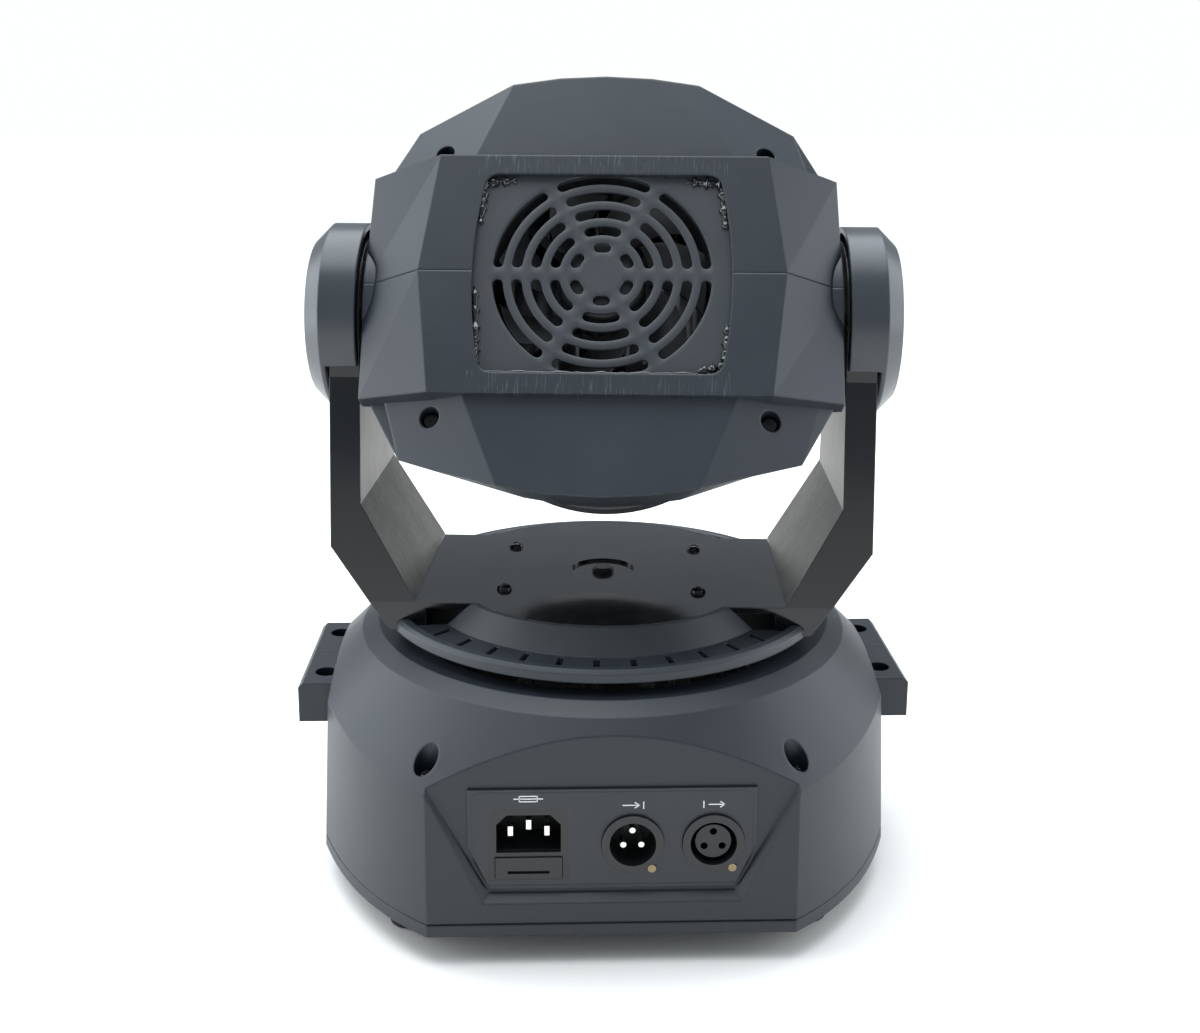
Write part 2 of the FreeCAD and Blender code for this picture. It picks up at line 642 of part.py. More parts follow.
def makeTurntable():
    low = s.bearingPlateHigh
    posts = [rod(s.postRadius, (x * s.postSpacing / 2, y * s.postSpacing / 2, s.footHigh + s.trayThick),
                 low - s.footHigh - s.trayThick) for x, y in signs]
    top = low + s.bearingPlateThick
    ring = spin([(s.panShaftRadius + 4, low), (s.bearingPlateRadius, low), (s.bearingPlateRadius, top),
                 (s.panShaftRadius + 4, top)])
    subPart("bearing_plate", fuse(ring, *posts), basePlace)
    bore = s.panShaftRadius + s.runningGap
    race = spin([(bore, top), (s.panBearingRadius, top), (s.panBearingRadius, top + s.panBearingWide),
                 (bore, top + s.panBearingWide)])
    subPart("pan_bearing", race, basePlace)
    flange = s.discLow - 3
    shaft = spin([(s.panShaftBore, s.panPulleyLow - 10), (s.panShaftRadius, s.panPulleyLow - 10),
                  (s.panShaftRadius, flange), (s.panShaftRadius * 2, flange), (s.panShaftRadius * 2, s.discLow),
                  (s.panShaftBore, s.discLow)])
    subPart("pan_shaft", shaft, yokePlace)
    wheel = pulley(s.panPulleyRadius, s.panShaftRadius, s.pulleyWide)
    subPart("pan_pulley", wheel, yokePlace.multiply(shifted(0, 0, s.panPulleyLow)))


def pinion(radius, wide):
    """A small belt wheel on a motor's shaft; the shaft starts below the wheel."""
    rim = radius + 1.4
    thin = s.motorShaftRadius
    return spin([(0, -9), (thin, -9), (thin, 0), (rim, 0), (rim, 0.8), (radius, 0.8), (radius, wide - 0.8),
                 (rim, wide - 0.8), (rim, wide), (thin, wide), (thin, wide + 2), (0, wide + 2)])


def motor(wide, long):
    """A square stepper motor up to Z = 0, with its boss and an open bore for the shaft."""
    half = wide / 2
    bevel = 4
    outline = [(half * -1, half * -1 + bevel), (half * -1 + bevel, half * -1), (half - bevel, half * -1),
               (half, half * -1 + bevel), (half, half - bevel), (half - bevel, half),
               (half * -1 + bevel, half), (half * -1, half - bevel)]
    case = plate(outline, -long, 0)
    boss = rod(wide / 4, (0, 0, -1), 2.5)
    bore = rod(s.motorShaftRadius + s.runningGap, (0, 0, -8), 12)
    return cut(fuse(case, boss), bore)


def makePanDrive():
    along = s.panMotorAlong
    top = s.panPulleyLow - 4
    drive = motor(s.motorWide, 36)
    subPart("pan_motor", drive, shifted(0, along, top))
    hole = rod(s.motorWide / 4 + 0.2, (0, along, top - 1), 5)
    half = s.motorWide / 2
    deck = box((-half - 3, along - half, top), (half + 3, along + half, top + 1.2))
    legs = [box((side * (half + 2) - 1, along - 14, s.footHigh + s.trayThick),
                (side * (half + 2) + 1, along + 14, top)) for side in (-1, 1)]
    subPart("pan_motor_bracket", cut(fuse(deck, *legs), hole), basePlace)
    subPart("pan_pinion", pinion(s.pinionRadius, s.pulleyWide), shifted(0, along, s.panPulleyLow))
    loop = beltLoop(float(s.panPulleyRadius + s.beltGap), float(s.pinionRadius + s.beltGap), float(along),
                    float(s.beltThick), float(s.pulleyWide) - 3)
    subPart("pan_belt", fixed(loop), shifted(0, 0, s.panPulleyLow + 1.5))


def makeElectronics():
    floor = s.footHigh + s.trayThick
    board = box((-98, -48, floor + 6), (-46, 44, floor + 6 + s.boardThick))
    top = floor + 6 + s.boardThick
    parts = [board, box((-90, -40, top), (-66, -10, top + 22)), box((-92, 2, top), (-62, 34, top + 26)),
             rod(9, (-56, -30, top), 26), rod(9, (-56, -8, top), 26), box((-58, 8, top), (-49, 38, top + 20))]
    feet = [rod(2.5, (x, y, floor), 6) for x in (-94, -50) for y in (-44, 40)]
    subPart("power_supply", fuse(*parts, *feet), basePlace)
    board = box((46, -48, floor + 8), (98, 44, floor + 8 + s.boardThick))
    top = floor + 8 + s.boardThick
    chips = [box((54, -40, top), (70, -24, top + 2.4)), box((76, -36, top), (92, -16, top + 10)),
             box((56, -4, top), (90, 8, top + 12)), box((56, 18, top), (66, 36, top + 8)),
             box((74, 18, top), (84, 36, top + 8))]
    feet = [rod(2.5, (x, y, floor), 8) for x in (50, 94) for y in (-44, 40)]
    subPart("control_board", fuse(board, *chips, *feet), basePlace)


# ---------------------------------------------------------------- yoke

def yokeBracket():
    """The folded bracket: a flat plate with round bulges, and an arm up each side."""
    low = s.yokeTop - s.yokePlateThick
    half = s.yokePlateWide / 2
    deep = s.yokePlateDeep / 2
    deck = box((-half, -deep, low), (half, deep, s.yokeTop))
    bulge = rod(s.bulgeRadius, (0, 0, low), s.yokePlateThick)
    arms = []
    inner = s.armInner
    outer = s.armOuter
    reach = s.tiltHigh + s.capRadius
    for side in (-1, 1):
        outline = [(half * side, s.yokeTop), (inner * side, s.armBendHigh), (inner * side, reach),
                   (outer * side, reach), (outer * side, s.armBendHigh - 18), ((half + 11) * side, s.crescentLow),
                   ((half - 4) * side, s.crescentLow), ((half - 4) * side, s.yokeTop)]
        strip = upright(outline, -deep, deep)
        thin = s.armWall
        pocket = upright([((half + 3) * side, s.yokeTop - 2), ((inner + thin) * side, s.armBendHigh - 2),
                          ((inner + thin) * side, reach + 5), ((outer + 5) * side, reach + 5),
                          ((outer + 5) * side, s.crescentLow), ((half + 16) * side, s.crescentLow)],
                         -deep, deep)
        hollow = common(pocket, fixed(armOutline(float(thin))))
        arms.append(cut(strip, hollow))
    return deck, bulge, arms


def armOutline(shrink):
    """An arm seen from the side: it narrows upwards and ends in a half circle."""
    low = float(s.crescentLow) - 1
    high = float(s.armOuter) + 10
    deep = float(s.yokePlateDeep / 2) - shrink
    narrow = float(s.armTopDeep / 2) - shrink
    middle = float(s.tiltHigh)
    corners = [vector(0, -deep, low), vector(0, deep, low), vector(0, deep, float(s.yokeTop)),
               vector(0, narrow, middle - 20), vector(0, narrow, middle)]
    top = vector(0, 0, middle + narrow)
    ends = [vector(0, -narrow, middle), vector(0, -narrow, middle - 20), vector(0, -deep, float(s.yokeTop)),
            corners[0]]
    edges = [Part.makeLine(first, second) for first, second in zip(corners, corners[1:])]
    edges.append(Part.Arc(corners[-1], top, ends[0]).toShape())
    edges += [Part.makeLine(first, second) for first, second in zip(ends, ends[1:])]
    face = Part.Face(Part.Wire(edges))
    face.translate(vector(-high, 0, 0))
    return face.extrude(vector(2 * high, 0, 0))


def makeYoke():
    deck, bulge, arms = yokeBracket()
    trimmed = common(fuse(deck, *arms), fixed(armOutline(0)))
    holes = [rod(s.recessRadius, (0, 0, s.yokeTop - 1.2), 5)]
    holes += [rod(2.2, (x * s.plateScrewX / 2, y * s.plateScrewY / 2, s.yokeTop - 8), 12) for x, y in signs]
    reach = s.armOuter + 5
    holes.append(rod(s.tiltShaftRadius + 0.1, (-reach, 0, s.tiltHigh), reach * 2, "X"))
    subPart("yoke_bracket", cut(fuse(trimmed, bulge), *holes), yokePlace)
    heads = []
    for x, y in signs:
        screw = spin([(0, -10), (2, -10), (2, 0), (s.plateScrewRadius, 0), (s.plateScrewRadius, 0.9),
                      (s.plateScrewRadius - 1, 2.1), (0.9, 2.3), (0.9, 1.2), (0, 1)])
        screw.Placement = shifted(x * s.plateScrewX / 2, y * s.plateScrewY / 2, s.yokeTop)
        heads.append(screw)
    subPart("plate_screws", group(*heads), yokePlace)
    base = s.yokeTop - 1.2
    plug = spin([(0, base), (s.plugRadius, base), (s.plugRadius, base + 1.6), (s.plugRadius - 1, base + 2.4),
                 (0, base + 2.4)])
    subPart("centre_plug", plug, yokePlace)
    spacers = []
    for x, y in signs:
        spacer = spin([(2.1, 0), (4.5, 0), (4.5, s.yokeTop - s.yokePlateThick - s.discLow - s.discThick),
                       (2.1, s.yokeTop - s.yokePlateThick - s.discLow - s.discThick)])
        spacer.Placement = shifted(x * s.plateScrewX / 2, y * s.plateScrewY / 2, s.discLow + s.discThick)
        spacers.append(spacer)
    top = s.discLow + s.discThick
    disc = spin([(s.panShaftBore, s.discLow), (s.discRadius, s.discLow), (s.discRadius, top),
                 (s.panShaftBore, top)])
    subPart("turntable_disc", fuse(disc, *spacers), yokePlace)


def crescentRing():
    """The whole ring that both covers are cut from, with its slots round the channel."""
    low = s.crescentLow
    rim = s.crescentRadius
    floor = s.crescentHigh - 2
    body = spin([(s.bulgeRadius + 0.5, s.yokeTop - 3), (s.bulgeRadius + 0.5, s.yokeTop),
                 (s.bulgeRadius + 2, s.yokeTop), (s.channelInner, floor), (s.channelOuter, floor - 0.6),
                 (s.channelOuter + 0.6, s.crescentHigh - 0.5), (s.channelOuter + 1.6, s.crescentHigh),
                 (rim - 1.6, s.crescentHigh), (rim, s.crescentHigh - 1.6), (rim, low),
                 (s.channelInner - 2, low), (s.channelInner - 2, low + 2)])
    cutter = body.newObject("Sketcher::SketchObject", "SlotOutline")
    cutter.AttachmentSupport = [(originPlane(body, "XY_Plane"), "")]
    cutter.MapMode = "FlatFace"
    bind(cutter, "AttachmentOffset.Base.z", s.crescentHigh + 2)
    half = s.slotWide / 2
    drawOutline(cutter, [(half * -1, s.channelInner + 1.5), (half, s.channelInner + 1.5),
                         (half, s.channelOuter - 1), (half * -1, s.channelOuter - 1)])
    slot = body.newObject("PartDesign::Pocket", "Slot")
    slot.Profile = cutter
    slot.Reversed = False
    bind(slot, "Length", 12)
    polarCopies(body, slot, 36)
    return body


def makeCrescents():
    edge = s.yokePlateDeep / 2 + 0.3
    reach = s.crescentRadius + 3
    for name, side in (("crescent_cover_rear", -1), ("crescent_cover_front", 1)):
        start = edge if side > 0 else -reach
        end = reach if side > 0 else -edge
        half = box((-reach, start, s.crescentLow - 2), (reach, end, s.yokeTop + 1))
        subPart(name, common(crescentRing(), half), yokePlace)


def makeArmCaps():
    """A chamfered cup over each arm's end, open below where the arm comes in."""
    for name, side in (("arm_cap_left", -1), ("arm_cap_right", 1)):
        wide = s.capOut - s.armInner - 0.6
        wall = s.capWall
        cup = spin([(0, wide), (s.capRadius - s.capChamfer, wide), (s.capRadius, wide - s.capChamfer),
                    (s.capRadius, 0), (s.capRadius - wall, 0), (s.capRadius - wall, wide - s.capChamfer - 1),
                    (s.capRadius - s.capChamfer - wall, wide - wall), (0, wide - wall)])
        # the cup's own X points down on the right arm and up on the left one
        turn = 90 if side > 0 else -90
        edge = 15 if side > 0 else -75
        mouth = box((edge, -60, -60), (edge + 60, 60, s.armOuter - s.armInner + 0.4))
        cup = cut(cup, mouth)
        place = shifted(side * (s.armInner + 0.6), 0, s.tiltHigh, FreeCAD.Vector(0, 1, 0), turn)
        subPart(name, cup, yokePlace.multiply(place))


def makeTiltShafts():
    """A shaft from each arm into the head, clamped by a flange under the arm's cap."""
    skin = s.armInner + s.armWall
    shafts = []
    for side, end in ((-1, s.hubOut - 22), (1, s.tiltPulleyIn - 2)):
        thin = s.tiltShaftRadius
        shaft = spin([(4, end), (thin, end), (thin, skin), (thin + 6, skin), (thin + 6, skin + 3),
                      (thin, skin + 3), (thin, skin + 8), (4, skin + 8)])
        shaft.Placement = shifted(0, 0, s.tiltHigh, FreeCAD.Vector(0, 1, 0), 90 * side)
        shafts.append(shaft)
    subPart("tilt_shafts", group(*shafts), yokePlace)
    wheel = pulley(s.tiltPulleyRadius, s.tiltShaftRadius, 9)
    place = shifted(s.tiltPulleyIn, 0, s.tiltHigh, FreeCAD.Vector(0, 1, 0), 90)
    subPart("tilt_pulley", wheel, yokePlace.multiply(place))


# ---------------------------------------------------------------- head

def facetedSolid(rings):
    """A closed solid through rings of points, with a fan of triangles at each end."""
    faces = []

    def triangle(*corners):
        faces.append(Part.Face(Part.makePolygon(list(corners) + [corners[0]])))
    for lower, upper in zip(rings, rings[1:]):
        count = len(lower)
        for index in range(count):
            after = (index + 1) % count
            triangle(lower[index], lower[after], upper[after])
            triangle(lower[index], upper[after], upper[index])
    for ring in (rings[0], rings[-1]):
        centre = FreeCAD.Vector()
        for corner in ring:
            centre = centre + corner * (1 / len(ring))
        for index, corner in enumerate(ring):
            triangle(centre, corner, ring[(index + 1) % len(ring)])
    solid = Part.makeSolid(Part.makeShell(faces))
    if solid.Volume < 0:
        solid.reverse()
    return solid.removeSplitter()


def headRing(ridge, top, rise, corner, cheek, side):
    """Points round the head: a crowned top between two ridges, corners, cheeks and the sides."""
    quarter = [(0, top, ridge[2]), (ridge[0] / 2, top - rise * 0.25, ridge[2]), (ridge[0], top - rise, ridge[2]),
               corner, cheek, side]
    lower = [(x, -up, deep) for x, up, deep in quarter[-2::-1]]
    right = quarter + lower
    left = [(-x, up, deep) for x, up, deep in right[-2:0:-1]]
    return [FreeCAD.Vector(*point) for point in right + left]


def headHull(grow, forward=0):
    """The head's outer form from the rear cover to the nose, grown, and its rear moved forwards."""
    side = float(s.ringWide / 2) + grow
    corner = float(s.ringCornerWide / 2) + grow
    up = float(s.ringCorner) + grow
    cheek = float(s.cheekUp)
    top = float(s.ringTop) + grow
    back = -float(s.ringBack) + forward
    flank = -float(s.ringCornerBack) + forward
    bandTop = float(s.bandHigh / 2) - 0.5 + grow
    first = headRing((54, 0, back - 1.6), bandTop, 0.3, (88 + grow, bandTop - 5, flank - 2.5),
                     (90 + grow, 30, flank - 2), (91 + grow, 0, flank - 2))
    second = headRing((39, 0, back), top, 4.2, (corner, up, flank), (side - 2, cheek, flank + 1.5),
                      (side, 0, flank + 1.5))
    k = float(s.noseScale)
    front = float(s.noseFront) + min(grow, 0)
    third = headRing((39 * k, 0, front), top * k, 3.6, (corner * k, up * k, front),
                     ((side - 2) * k, cheek * k, front), (side * k, 0, front))
    return facetedSolid([first, second, third])


def rearOpening(shrink):
    """The hole in the head's rear that the rear cover closes."""
    high = float(s.bandHigh / 2) - shrink
    rings = []
    for depth in (-60, 0):
        rings.append(headRing((54, 0, depth), high, 0.3, (88 - shrink, high - 5, depth),
                              (90 - shrink, 30, depth), (91 - shrink, 0, depth)))
    return facetedSolid(rings)


def cylinderAt(radius, start, along, long):
    return Part.makeCylinder(float(radius), float(long), start, along)


def makeHeadShells():
    wall = float(s.headWall)
    hub = float(s.hubRadius)
    hubOut = float(s.hubOut)
    outer = headHull(0)
    inner = headHull(-wall, wall).fuse(rearOpening(3))
    nose = float(s.noseFront)
    forward = FreeCAD.Vector(0, 0, 1)
    sideways = FreeCAD.Vector(1, 0, 0)
    hubs = cylinderAt(hub, FreeCAD.Vector(-hubOut, 0, 0), sideways, 2 * hubOut)
    hubWells = cylinderAt(hub - wall, FreeCAD.Vector(-hubOut + wall, 0, 0), sideways, 2 * (hubOut - wall))
    outer = outer.fuse(hubs)
    bosses = None
    screwX = float(s.headScrewAcross)
    screwUp = float(s.headScrewUp)
    floor = -float(s.headScrewDeep)
    pockets = []
    for x, y in signs:
        spot = FreeCAD.Vector(x * screwX, y * screwUp, floor - 12)
        boss = cylinderAt(6.2, spot, forward, 28)
        bosses = boss if bosses is None else bosses.fuse(boss)
        pockets.append(cylinderAt(4.1, FreeCAD.Vector(spot.x, spot.y, floor - 30), forward, 30))
    inner = inner.cut(bosses).fuse(hubWells)
    shell = outer.cut(inner)
    for pocket in pockets:
        shell = shell.cut(pocket)
    shell = shell.cut(cylinderAt(s.bezelRadius + 0.4, FreeCAD.Vector(0, 0, nose - 10), forward, 30))
    shell = shell.cut(cylinderAt(13, FreeCAD.Vector(-120, 0, 0), sideways, 240))
    gap = float(s.seamGap / 2)
    for name, low in (("head_upper_shell", gap), ("head_lower_shell", -200 - gap)):
        half = Part.makeBox(400, 200, 400, FreeCAD.Vector(-200, low, -200))
        subPart(name, fixed(shell.common(half)), headPlace)


def bandBlock(shrink, front):
    """The rear cover's block: a flat back between two ridges, and sides that slope forwards."""
    back = float(s.bandBack) - shrink
    edge = float(s.bandEdge) - shrink * 0.6
    flat = float(s.bandFlat / 2) - shrink * 0.4
    wide = float(s.bandWide / 2) - shrink
    high = float(s.bandHigh / 2) - shrink
    endHigh = float(s.bandEndHigh / 2) - shrink
    bow = float(s.bandBow)
    rings = []
    for x, up, depth in ((-wide, endHigh, edge), (-flat, high, back), (flat, high, back), (wide, endHigh, edge)):
        narrow = math.copysign(bow if abs(x) == flat else 1, x)
        rings.append([FreeCAD.Vector(x - narrow, up, -depth), FreeCAD.Vector(x, 0, -depth),
                      FreeCAD.Vector(x - narrow, -up, -depth), FreeCAD.Vector(x - narrow, -up, -front),
                      FreeCAD.Vector(x, 0, -front), FreeCAD.Vector(x - narrow, up, -front)])
    return facetedSolid(rings)


def bowedPrism(half, high, bow, low, tall):
    """A prism with a flat top and bottom and sides that bow outwards."""
    corners = [FreeCAD.Vector(x * (half - bow), y * high, low) for x, y in signs]
    right = Part.Arc(corners[1], FreeCAD.Vector(half, 0, low), corners[2]).toShape()
    left = Part.Arc(corners[3], FreeCAD.Vector(-half, 0, low), corners[0]).toShape()
    edges = [Part.makeLine(corners[0], corners[1]), right, Part.makeLine(corners[2], corners[3]), left]
    return Part.Face(Part.Wire(edges)).extrude(FreeCAD.Vector(0, 0, tall))


def makeRearCovers():
    wall = float(s.headWall)
    shell = bandBlock(0, float(s.bandFront)).cut(bandBlock(wall, float(s.bandFront) - 8))
    hubRoom = cylinderAt(float(s.hubRadius) + 0.3, FreeCAD.Vector(-150, 0, 0), FreeCAD.Vector(1, 0, 0), 300)
    shell = shell.cut(headHull(0.3)).cut(headHull(0)).cut(hubRoom)
    wide = float(s.grilleWide)
    high = float(s.grilleHigh)
    window = bowedPrism(wide / 2, high / 2, float(s.grilleBow), -60, 20)
    corners = [edge for edge in window.Edges if abs(edge.tangentAt(edge.FirstParameter).z) > 0.9]
    shell = shell.cut(window.makeFillet(6, corners))
    gap = float(s.seamGap / 2)
    for name, low in (("rear_cover_upper", gap), ("rear_cover_lower", -200 - gap)):
        half = Part.makeBox(400, 200, 400, FreeCAD.Vector(-200, low, -200))
        subPart(name, fixed(shell.common(half)), headPlace)


def makeGrille():
    """A plate with five rings of vents, crossed by three ribs through its middle."""
    back = -(s.bandBack - s.headWall - 0.2)
    wide = s.grilleWide / 2 + 2
    high = s.grilleHigh / 2 + 2
    deck = box((-wide, -high, back), (wide, high, back + s.grilleThick))
    rings = []
    for index in range(5):
        radius = 11.5 + 7.6 * index
        rings.append(cut(rod(radius + s.ventWide / 2, (0, 0, back - 2), 8),
                         rod(radius - s.ventWide / 2, (0, 0, back - 3), 10)))
    ribs = [turned(box((-60, s.ribWide / -2, back - 4), (60, s.ribWide / 2, back + 8)), angle)
            for angle in (0, 60, 120)]
    vents = cut(group(*rings), *ribs)
    subPart("fan_grille", cut(deck, vents), headPlace)


def makeFan():
    back = -(s.bandBack - s.headWall - s.grilleThick - 1)
    half = s.fanWide / 2
    case = cut(box((-half, -half, back), (half, half, back + s.fanThick)),
               rod(s.fanBore / 2, (0, 0, back - 1), s.fanThick + 2))
    spokes = [turned(box((0, -2, back + s.fanThick - 2.5), (half - 1, 2, back + s.fanThick)), 45 + 90 * index)
              for index in range(4)]
    core = rod(s.fanHub - 1, (0, 0, back + s.fanThick - 4), 4)
    axle = rod(2, (0, 0, back + s.fanThick - 12), 9)
    holes = [rod(2.2, (x * (half - 5), y * (half - 5), back - 1), s.fanThick + 2) for x, y in signs]
    subPart("fan_frame", cut(fuse(case, core, axle, *spokes), *holes), headPlace)
    hub = cut(rod(s.fanHub, (0, 0, back + 1), s.fanThick - 6),
              rod(2 + s.runningGap, (0, 0, back + 4), s.fanThick))
    blades = []
    long = s.fanBore / 2 - s.fanHub + 0.5
    for index in range(7):
        flat = box((s.fanHub - 2, -9, -0.7), (s.fanHub - 2 + long, 9, 0.7))
        pitched = turned(flat, 38, FreeCAD.Vector(1, 0, 0))
        blade = group(pitched)
        blade.Placement = shifted(0, 0, back + 9.5, FreeCAD.Vector(0, 0, 1), index * 360 / 7)
        blades.append(blade)
    rotor = fuse(hub, *blades)
    subPart("fan_rotor", rotor, headPlace)


def makeLightEngine():
    """Heatsink, board, light sources, lenses, bezel and glass, one in front of the other."""
    half = s.heatsinkWide / 2
    front = s.noseFront
    fins = []
    for index in range(14):
        x = -half + index * (s.heatsinkWide - 1.6) / 13
        fins.append(box((x, -27, -17), (x + 1.6, 44, front - 3)))
    base = rod(s.ledPlateRadius + 2, (0, 0, front - 3.5), 3.5)
    subPart("heatsink", fuse(base, *fins), headPlace)
    board = rod(s.ledPlateRadius, (0, 0, front + 0.1), s.boardThick)
    subPart("led_board", group(board), headPlace)
    top = front + 0.1 + s.boardThick
    spots = [(0, 0)] + [(s.lensCircle * math.cos(index * math.pi / 3), s.lensCircle * math.sin(index * math.pi / 3))
                        for index in range(6)]
    chips = [box((x - 3.5, y - 3.5, top), (x + 3.5, y + 3.5, top + 2.5)) for x, y in spots]
    subPart("light_sources", group(*chips), headPlace)
    lenses = []
    for x, y in spots:
        lens = spin([(0, top + 5), (6, top + 5), (s.lensRadius, top + 19), (s.lensRadius, top + 21),
                     (0, top + 23)])
        lens.Placement = shifted(x, y, 0)
        lenses.append(lens)
    subPart("lens_set", group(*lenses), headPlace)
    holder = rod(s.bezelRadius - s.bezelWall - 0.3, (0, 0, top + 14), 6.5)
    holes = [rod(s.lensRadius + 0.3, (x, y, top + 12), 12) for x, y in spots]
    subPart("lens_holder", cut(holder, *holes), headPlace)
    radius = s.bezelRadius
    tip = s.bezelFront
    inner = radius - s.bezelWall
    bezel = spin([(inner, front - s.headWall), (radius, front - s.headWall), (radius, s.beltLine), (radius - 1.2, s.beltLine + 0.6),
                  (radius - 1.2, s.beltLine + 2), (radius, s.beltLine + 2.6), (radius - 1.5, tip - 6),
                  (radius - 6, tip), (radius - 10, tip), (radius - 10, tip - 3), (inner, tip - 3)])
    subPart("front_bezel", bezel, headPlace)
    glass = rod(inner - 0.2, (0, 0, tip - 3 - s.glassThick - 0.1), s.glassThick)
    subPart("front_glass", group(glass), headPlace)


def makeTiltDrive():
    bearings = []
    thin = s.tiltShaftRadius + s.runningGap
    outer = 12.9
    for side in (-1, 1):
        bush = spin([(thin, 0), (outer, 0), (outer, 9), (thin, 9)])
        bush.Placement = shifted(side * (s.hubOut - 10), 0, 0, FreeCAD.Vector(0, 1, 0), 90 * side)
        bearings.append(bush)
    subPart("tilt_bearings", group(*bearings), headPlace)
    # the head's X runs the other way from the yoke's, so the pulley's side is -X here
    down = -s.tiltMotorDown
    back = -s.tiltMotorBack
    side = FreeCAD.Vector(0, 1, 0)
    drive = motor(s.tiltMotorWide, 26)
    subPart("tilt_motor", drive, headPlace.multiply(shifted(-s.tiltPulleyIn + 4, down, back, side, -90)))
    small = pinion(s.tiltPulleyRadius / 3, formula(9))
    subPart("tilt_pinion", small, headPlace.multiply(shifted(-s.tiltPulleyIn, down, back, side, -90)))
    distance = math.hypot(float(s.tiltMotorDown), float(s.tiltMotorBack))
    loop = beltLoop(float(s.tiltPulleyRadius + s.beltGap), float(s.tiltPulleyRadius / 3 + s.beltGap), distance,
                    float(s.beltThick), 6)
    lean = math.degrees(math.atan2(float(s.tiltMotorBack), float(s.tiltMotorDown)))
    flat = shifted(0, 0, 0, FreeCAD.Vector(0, 0, 1), 180 - lean)
    place = headPlace.multiply(shifted(-s.tiltPulleyIn - 1.5, 0, 0, side, -90)).multiply(flat)
    subPart("tilt_belt", fixed(loop), place)
    board = box((16, -62, -16), (52, -60.4, 12))
    chips = [box((20, -60.4, -10), (32, -57, 2)), box((38, -60.4, -8), (48, -54, 4))]
    subPart("driver_board", fuse(board, *chips), headPlace)


def makeHeadScrews():
    heads = []
    for x, y in signs:
        screw = spin([(0, 0), (3.6, 0), (3.6, 1.2), (2.8, 2.2), (0.9, 2.2), (0.9, 1.2), (0, 1.2)])
        screw.Placement = shifted(x * s.headScrewAcross, y * s.headScrewUp, -s.headScrewDeep,
                                  FreeCAD.Vector(1, 0, 0), 180)
        heads.append(screw)
    subPart("head_screws", group(*heads), headPlace)


makeBaseShells()
makeShellScrews()
makeTray()
makeConnectorPlate()
makeInlet()
makeFuseDrawer()
makeSignalSockets()
makeControlPanel()
makeTurntable()
makePanDrive()
makeElectronics()
makeYoke()
makeCrescents()
makeArmCaps()
makeTiltShafts()
makeHeadShells()
makeRearCovers()
makeGrille()
makeFan()
makeLightEngine()
makeTiltDrive()
makeHeadScrews()
doc.recompute()

for thing in doc.Objects:
    if "Invalid" in thing.State or "Error" in thing.State:
        raise RuntimeError("%s (%s) failed: %s" % (thing.Name, thing.Label, thing.State))
os.makedirs("parts", exist_ok=True)
for name, thing in subParts:
    if thing.Shape.isNull() or not thing.Shape.isValid():
        raise RuntimeError(name + " has no valid shape")
    thing.Shape.exportStep("parts/%s.step" % name)
    print("%-26s %2d solids %10.0f mm3" % (name, len(thing.Shape.Solids), thing.Shape.Volume))
print(len(subParts), "sub-parts")
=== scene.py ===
import math

import bmesh
import bpy
import numpy as np
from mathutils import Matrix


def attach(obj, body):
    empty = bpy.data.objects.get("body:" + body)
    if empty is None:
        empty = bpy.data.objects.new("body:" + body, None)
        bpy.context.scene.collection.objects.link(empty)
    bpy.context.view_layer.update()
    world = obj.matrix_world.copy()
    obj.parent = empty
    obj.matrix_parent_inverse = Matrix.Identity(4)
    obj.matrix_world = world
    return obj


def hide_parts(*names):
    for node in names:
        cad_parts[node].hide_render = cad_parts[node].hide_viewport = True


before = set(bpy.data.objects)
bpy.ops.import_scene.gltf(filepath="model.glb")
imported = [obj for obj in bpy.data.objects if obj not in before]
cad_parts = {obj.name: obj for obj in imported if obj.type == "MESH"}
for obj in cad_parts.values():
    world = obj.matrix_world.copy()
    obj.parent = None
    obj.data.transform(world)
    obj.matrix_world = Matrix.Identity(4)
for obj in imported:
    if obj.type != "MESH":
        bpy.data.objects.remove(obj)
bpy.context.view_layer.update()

print("frame loaded:", len(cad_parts), "nodes")

mm = 0.001
panRest = math.radians(-3.7)
tiltRest = math.radians(-31)
tiltHigh = 232.5


# places

def turnZ(points, angle):
    # x and y turned about the upright axis, z kept
    c, s = math.cos(angle), math.sin(angle)
    x, y, z = points[..., 0], points[..., 1], points[..., 2]
    return np.stack([x * c - y * s, x * s + y * c, z], -1)


def basePlace(points):
    return points * mm


def yokePlace(points):
    # the yoke's own frame, turned to where the pan rests
    return turnZ(points, panRest) * mm


def headPlace(points):
    # across, up and forwards in the head become -x, z and y, tipped about the tilt axis, then panned
    across, up, forward = points[..., 0], points[..., 1], points[..., 2]
    c, s = math.cos(tiltRest), math.sin(tiltRest)
    placed = np.stack([-across, forward * c - up * s, forward * s + up * c + tiltHigh], -1)
    return turnZ(placed, panRest) * mm


# meshes

def gridFaces(rows, cols, closeCols=False):
    # one four-sided face between each point of a grid and its next neighbours, wrapped round where it is closed
    i, j = np.meshgrid(np.arange(rows - 1), np.arange(cols if closeCols else cols - 1), indexing="ij")
    here, below, beside = i * cols, (i + 1) * cols, (j + 1) % cols
    return np.stack([here + j, below + j, below + beside, here + beside], -1).reshape(-1, 4)


